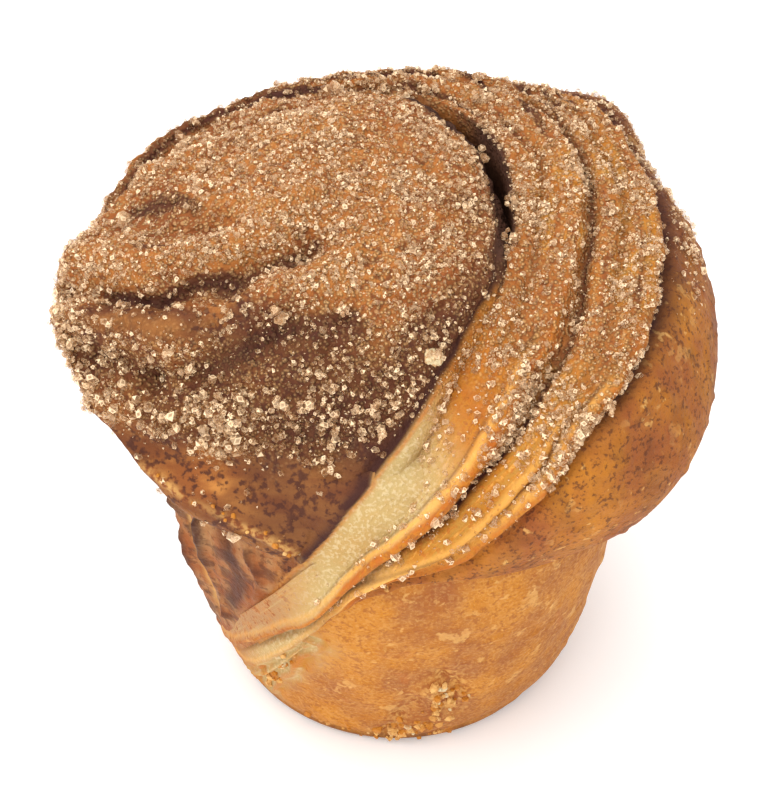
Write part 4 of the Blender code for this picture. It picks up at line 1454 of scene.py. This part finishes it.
class CRUFFIN_OT_cup(Operator):
    """Makes the moulded cup with its cut layers and torn crust"""

    bl_idname = "cruffin.cup"
    bl_label = "Cup"

    def execute(self, context):
        look = context.scene.cruffin_cup
        grid = cup_grid()
        height = grid[..., 2]
        azimuth = azimuth_of(grid)
        wander = astray(grid, 4.0, 0.6)
        layer = fold_relief(grid + wander, CUP_FOLDS)
        torn = fold_relief(grid + wander, CUP_CRUST)
        above, _, crease, masks = strip_masks(grid)
        under = shown("torn leaves", azimuth) * ease(-0.4, 0.4, above) * ease(47.0, 44.0, height)
        shelf = ease(-0.2, 0.2, above) * shown("shelf", azimuth)
        crust = most(shelf, ease(44.0, 46.0, height) * shown("ledge", azimuth))
        tail = tail_crumb(grid)
        leaves = 0.35 * tail * np.sin(line_distance(grid, TAIL_LINE) * 3.2 + 2.0 * grain(grid, 3.0))
        rough = held(np.abs(torn))
        dimple = 0.7 * grain(grid, 6.0) - held(grain(grid, 1.7) - 0.5) * 1.4
        rise = layer + torn - 0.6 * crease + leaves + look.dimple_depth * dimple
        rise += (rough * 0.5 + 0.1 * under) * grain.rough(grid, 1.4, 2)
        rise *= ease(0.3, 2.5, height)
        normal = outward(grid, True)
        normal[..., 2] = 0.0
        points = grid + normal * rise[..., None]
        turns, rows = points.shape[:2]
        quads = ring_corners(turns, rows)
        base_ring = np.arange(turns)[::-1] * rows
        top_ring = np.arange(turns) * rows + rows - 1
        corners = np.concatenate([quads.ravel(), base_ring, top_ring])
        sizes = np.concatenate([np.full(len(quads), 4), [turns, turns]])
        over = ease(-0.5, 0.5, points[..., 2] - np.interp(azimuth, *np.transpose(TINT_FROM)))
        # Painted shade under the coil's overhang, carried as sunk relief.
        band = bell(line_distance(grid, DARK_BAND), 1.7) * under
        masks = {key: values * over for key, values in masks.items()}
        skirt = line_distance(grid, SKIRT_LINE)
        masks["yolk"] = most(masks["yolk"], tail)
        masks["pale"] = most(masks["pale"], 0.9 * tail * ease(-0.6, 0.2, grain(grid, 1.8)))
        masks["ember"] = most(masks["ember"], 0.6 * tail * ease(0.1, -0.25, leaves))
        masks.update({
            "fold": layer - 1.3 * band, "tone": coil_tone(grid) * crust,
            "torn": most(rough, 0.9 * bell(skirt, 0.6) * (1.0 - under)),
            "rim": ease(2.4, 0.3, points[..., 2] + 0.8 * grain(points, 2.5)),
            "leafy": under * (1.0 - crust), "cinnamon": crust, "crease": crease * over,
        })
        piece = mesh_object("cup", points.reshape(-1, 3), corners, sizes, masks)
        dress(piece, crust_finish("cup_crust", context.scene.cruffin_colours))
        surfaces["cup"] = points
        return {"FINISHED"}


def crystal_boxes(places, normals, sizes, draw, sink=0.25):
    """Uneven cut boxes, turned at random and half seated."""
    count = len(places)
    stretch = draw.uniform(*CRYSTAL_STRETCH, (count, 1, 3))
    chip = draw.uniform(-CRYSTAL_CHIP, CRYSTAL_CHIP, (count, len(TIPS), 3))
    body = (TIPS[None] + chip) * stretch * sizes[:, None, None]
    turned = np.einsum("nij,nkj->nki", random_turns(count, draw), body)
    return turned + (places + normals * sizes[:, None] * sink)[:, None]


def loose_mesh(name, points, corners, sizes, tone, draw):
    """Small pieces as one flat-faced mesh, with a tone for each and a glint for each face."""
    tones = np.repeat(tone, points.shape[1])
    made = mesh_object(name, points.reshape(-1, 3), corners, sizes, {"tone": tones}, smooth=False)
    glint = made.data.attributes.new("glint", "FLOAT", "FACE")
    glint.data.foreach_set("value", draw.random(len(sizes)).astype(np.float32))
    return made


def crystals(name, points, draw, pale=0):
    """One mesh of all the boxes, the last of them pale; squares have flat maps."""
    count = len(points)
    squares, cuts = crystal_faces()
    step = np.arange(count)[:, None, None] * len(TIPS)
    square = (squares[None] + step).reshape(-1, 4)
    cut = (cuts[None] + step).reshape(-1, 3)
    corners = np.concatenate([square.ravel(), cut.ravel()])
    sizes = np.concatenate([np.full(len(square), 4), np.full(len(cut), 3)])
    tone = draw.random(count)
    tone[count - pale:] = 1.0
    made = loose_mesh(name, points, corners, sizes, tone, draw)
    face = made.data.uv_layers.new(name="face")
    flat = np.array([(0, 0), (1, 0), (1, 1), (0, 1)], np.float32)
    maps = np.concatenate([np.tile(flat, (len(square), 1)), np.zeros((cut.size, 2), np.float32)])
    face.data.foreach_set("uv", maps.ravel())
    return made


def grains(name, places, normals, sizes, draw):
    """Fine sugar: eight-sided grains."""
    count = len(places)
    tips = np.vstack([np.eye(3), -np.eye(3)])[[0, 3, 1, 4, 2, 5]] / 2
    sides = np.array([(0, 2, 4), (2, 1, 4), (1, 3, 4), (3, 0, 4), (2, 0, 5), (1, 2, 5), (3, 1, 5), (0, 3, 5)])
    body = tips[None] * draw.uniform(*GRAIN_STRETCH, (count, 6, 1)) * sizes[:, None, None]
    turned = np.einsum("nij,nkj->nki", random_turns(count, draw), body)
    points = turned + (places + normals * sizes[:, None] * 0.15)[:, None]
    corners = (sides[None] + np.arange(count)[:, None, None] * 6).reshape(-1, 3)
    return loose_mesh(name, points, corners, np.full(len(corners), 3), draw.random(count), draw)


class CRUFFIN_OT_flakes(Operator):
    """Sets flakes of crust at the foot and the rim, and a crumb on the coil"""

    bl_idname = "cruffin.flakes"
    bl_label = "Flakes"

    def execute(self, context):
        look = context.scene.cruffin_flakes
        draw = np.random.default_rng(look.seed)
        at, out, sizes = [], [], []
        for name, share, spread, small, large, line in FLAKE_PLACES:
            line = np.array(line)
            points = surfaces[name]
            normal = outward(points, True)
            for _ in range(round(share * look.flake_count)):
                k = draw.integers(len(line) - 1)
                t = draw.random()
                near = line[k] * (1 - t) + line[k + 1] * t + draw.normal(size=3) * spread
                seat = np.argmin(length(points - near, axis=-1))
                at.append(points.reshape(-1, 3)[seat] + draw.normal(size=3) * 0.1)
                out.append(normal.reshape(-1, 3)[seat])
                sizes.append(look.flake_size * draw.uniform(small, large))
        boxes = crystal_boxes(np.array(at), np.array(out), np.array(sizes), draw, sink=0.05)
        boxes[..., 2] -= np.minimum(boxes[..., 2].min(axis=1, keepdims=True), 0.0)
        pale = round(FLAKE_PLACES[-1][1] * look.flake_count)
        dress(crystals("flakes", boxes, draw, pale), flake_finish("flakes", context.scene.cruffin_colours))
        return {"FINISHED"}


def strew(count, spread, size, patch, draw):
    """Seats, outward sides and sizes of sugar on coil and wrap, in patches."""
    on_coil = int(count * SUGAR_ON_COIL)
    seats = []
    for name, share in (("coil", on_coil), ("wrap", count - on_coil)):
        points = surfaces[name]
        patchy = 1.0 - patch + patch * ease(-0.5, 0.5, grain(points, 4.0))
        seats.append(scatter(points, cover[name] * patchy, share, draw))
    at, out = (np.vstack(group) for group in zip(*seats))
    sizes = size * np.exp(spread * draw.normal(size=count)).clip(*SIZE_LIMITS)
    sizes *= SIZE_AT_CROWN + (SIZE_AT_BRIM - SIZE_AT_CROWN) * ease(*CROWN_AND_BRIM, at[:, 2])
    return at, out, sizes


def clump_boxes(draw):
    """Crystals of the clumps, huddled on the solid's own seats."""
    at, out, sizes = [], [], []
    for point, normal, size in clump_seats():
        for _ in range(CLUMP_CRYSTALS):
            away = draw.normal(size=3)
            away *= size * draw.random() ** 0.5 / length(away)
            at.append(point + normal * size * 0.3 + away)
            out.append(normal)
            sizes.append(draw.uniform(0.5, 0.95) * size * 0.8)
    return crystal_boxes(np.array(at), np.array(out), np.array(sizes), draw, 0.0)


class CRUFFIN_OT_sugar(Operator):
    """Scatters coarse and fine sugar crystals, and the clumps, on the crust"""

    bl_idname = "cruffin.sugar"
    bl_label = "Sugar"

    def execute(self, context):
        look = context.scene.cruffin_sugar
        colours = context.scene.cruffin_colours
        draw = np.random.default_rng(look.seed)
        at, out, sizes = strew(look.coarse_count, 0.22, look.coarse_size, 0.6, draw)
        boxes = crystal_boxes(at, out, sizes, draw)
        loose = crystal_finish("coarse_sugar", colours, *LOOSE_CLEAR)
        dress(crystals("coarse_sugar", boxes, draw), loose)
        at, out, sizes = strew(look.fine_count, 0.2, look.fine_size, 0.3, draw)
        dress(grains("fine_sugar", at, out, sizes, draw), grain_finish("fine_sugar", colours))
        boxes = clump_boxes(draw)
        dress(crystals("sugar_clumps", boxes, draw), crystal_finish("clump_sugar", colours, *CLUMP_CLEAR))
        return {"FINISHED"}


class CRUFFIN_OT_stage(Operator):
    """Makes the floor, the lights and the camera"""

    bl_idname = "cruffin.stage"
    bl_label = "Stage"

    def execute(self, context):
        look = context.scene.cruffin_stage
        scene = context.scene
        bpy.ops.mesh.primitive_plane_add(size=FLOOR_SIDE)
        floor = context.active_object
        floor.name = "floor"
        f = Finish("pale_floor")
        cloud = f.noise(0.3, 2.0)
        pale = tuple(look.floor)
        floor.data.materials.append(f.feed(
            Base_Color=(cloud * 0.3).blend(pale, tuple(0.97 * c for c in pale)),
            Roughness=0.6,
            Emission_Color=pale,
            Emission_Strength=look.glow,
        ))

        aim = Vector((-CENTRE[0] * MM, -CENTRE[1] * MM, AIM_HEIGHT * MM))
        tilt = math.radians(CAMERA_ELEVATION)
        ahead = Vector((0.0, math.cos(tilt), -math.sin(tilt)))
        lens = bpy.data.cameras.new("camera")
        camera = bpy.data.objects.new("camera", lens)
        scene.collection.objects.link(camera)
        camera.location = aim - ahead * CAMERA_AWAY * MM
        camera.rotation_euler = ahead.to_track_quat("-Z", "Y").to_euler()
        lens.sensor_width = SENSOR
        lens.lens = PICTURE_SCALE * CAMERA_AWAY * SENSOR / PICTURE_SIDE
        lens.clip_start = NEAREST
        scene.camera = camera

        lamp(scene, "key", *KEY_LIGHT, look.key_power, aim)
        lamp(scene, "fill", *FILL_LIGHT, look.fill_power, aim)
        world = bpy.data.worlds.new("white_room")
        world.use_nodes = True
        sky = world.node_tree.nodes["Background"]
        sky.inputs["Color"].default_value = (1.0, 1.0, 1.0, 1.0)
        sky.inputs["Strength"].default_value = look.sky
        scene.world = world
        scene.view_settings.view_transform = "Standard"
        return {"FINISHED"}


def lamp(scene, name, place, side, power, aim):
    """A square soft light at the place, turned to the pastry."""
    light = bpy.data.lights.new(name, "AREA")
    light.size = side
    light.energy = power
    made = bpy.data.objects.new(name, light)
    made.location = place
    made.rotation_euler = (aim - Vector(place)).to_track_quat("-Z", "Y").to_euler()
    scene.collection.objects.link(made)


STEPS = (
    CRUFFIN_OT_coil, CRUFFIN_OT_wrap, CRUFFIN_OT_cup, CRUFFIN_OT_flakes, CRUFFIN_OT_sugar, CRUFFIN_OT_stage,
)


class CRUFFIN_PT_panel(Panel):
    """Lists the pieces of the cruffin"""

    bl_idname = "CRUFFIN_PT_panel"
    bl_label = "Cruffin"
    bl_space_type = "VIEW_3D"
    bl_region_type = "UI"
    bl_category = "Cruffin"

    def draw(self, context):
        for step in STEPS:
            self.layout.operator(step.bl_idname)
        for name, look in LOOKS.items():
            box = self.layout.box()
            for key in look.__annotations__:
                box.prop(getattr(context.scene, name), key)


def register():
    for name, look in LOOKS.items():
        bpy.utils.register_class(look)
        setattr(bpy.types.Scene, name, PointerProperty(type=look))
    for kind in (*STEPS, CRUFFIN_PT_panel):
        bpy.utils.register_class(kind)


def unregister():
    for kind in reversed((*STEPS, CRUFFIN_PT_panel)):
        bpy.utils.unregister_class(kind)
    for name, look in LOOKS.items():
        delattr(bpy.types.Scene, name)
        bpy.utils.unregister_class(look)


def main():
    register()
    for step in STEPS:
        getattr(bpy.ops.cruffin, step.bl_idname.split(".")[1])()


if __name__ == "__main__":
    main()
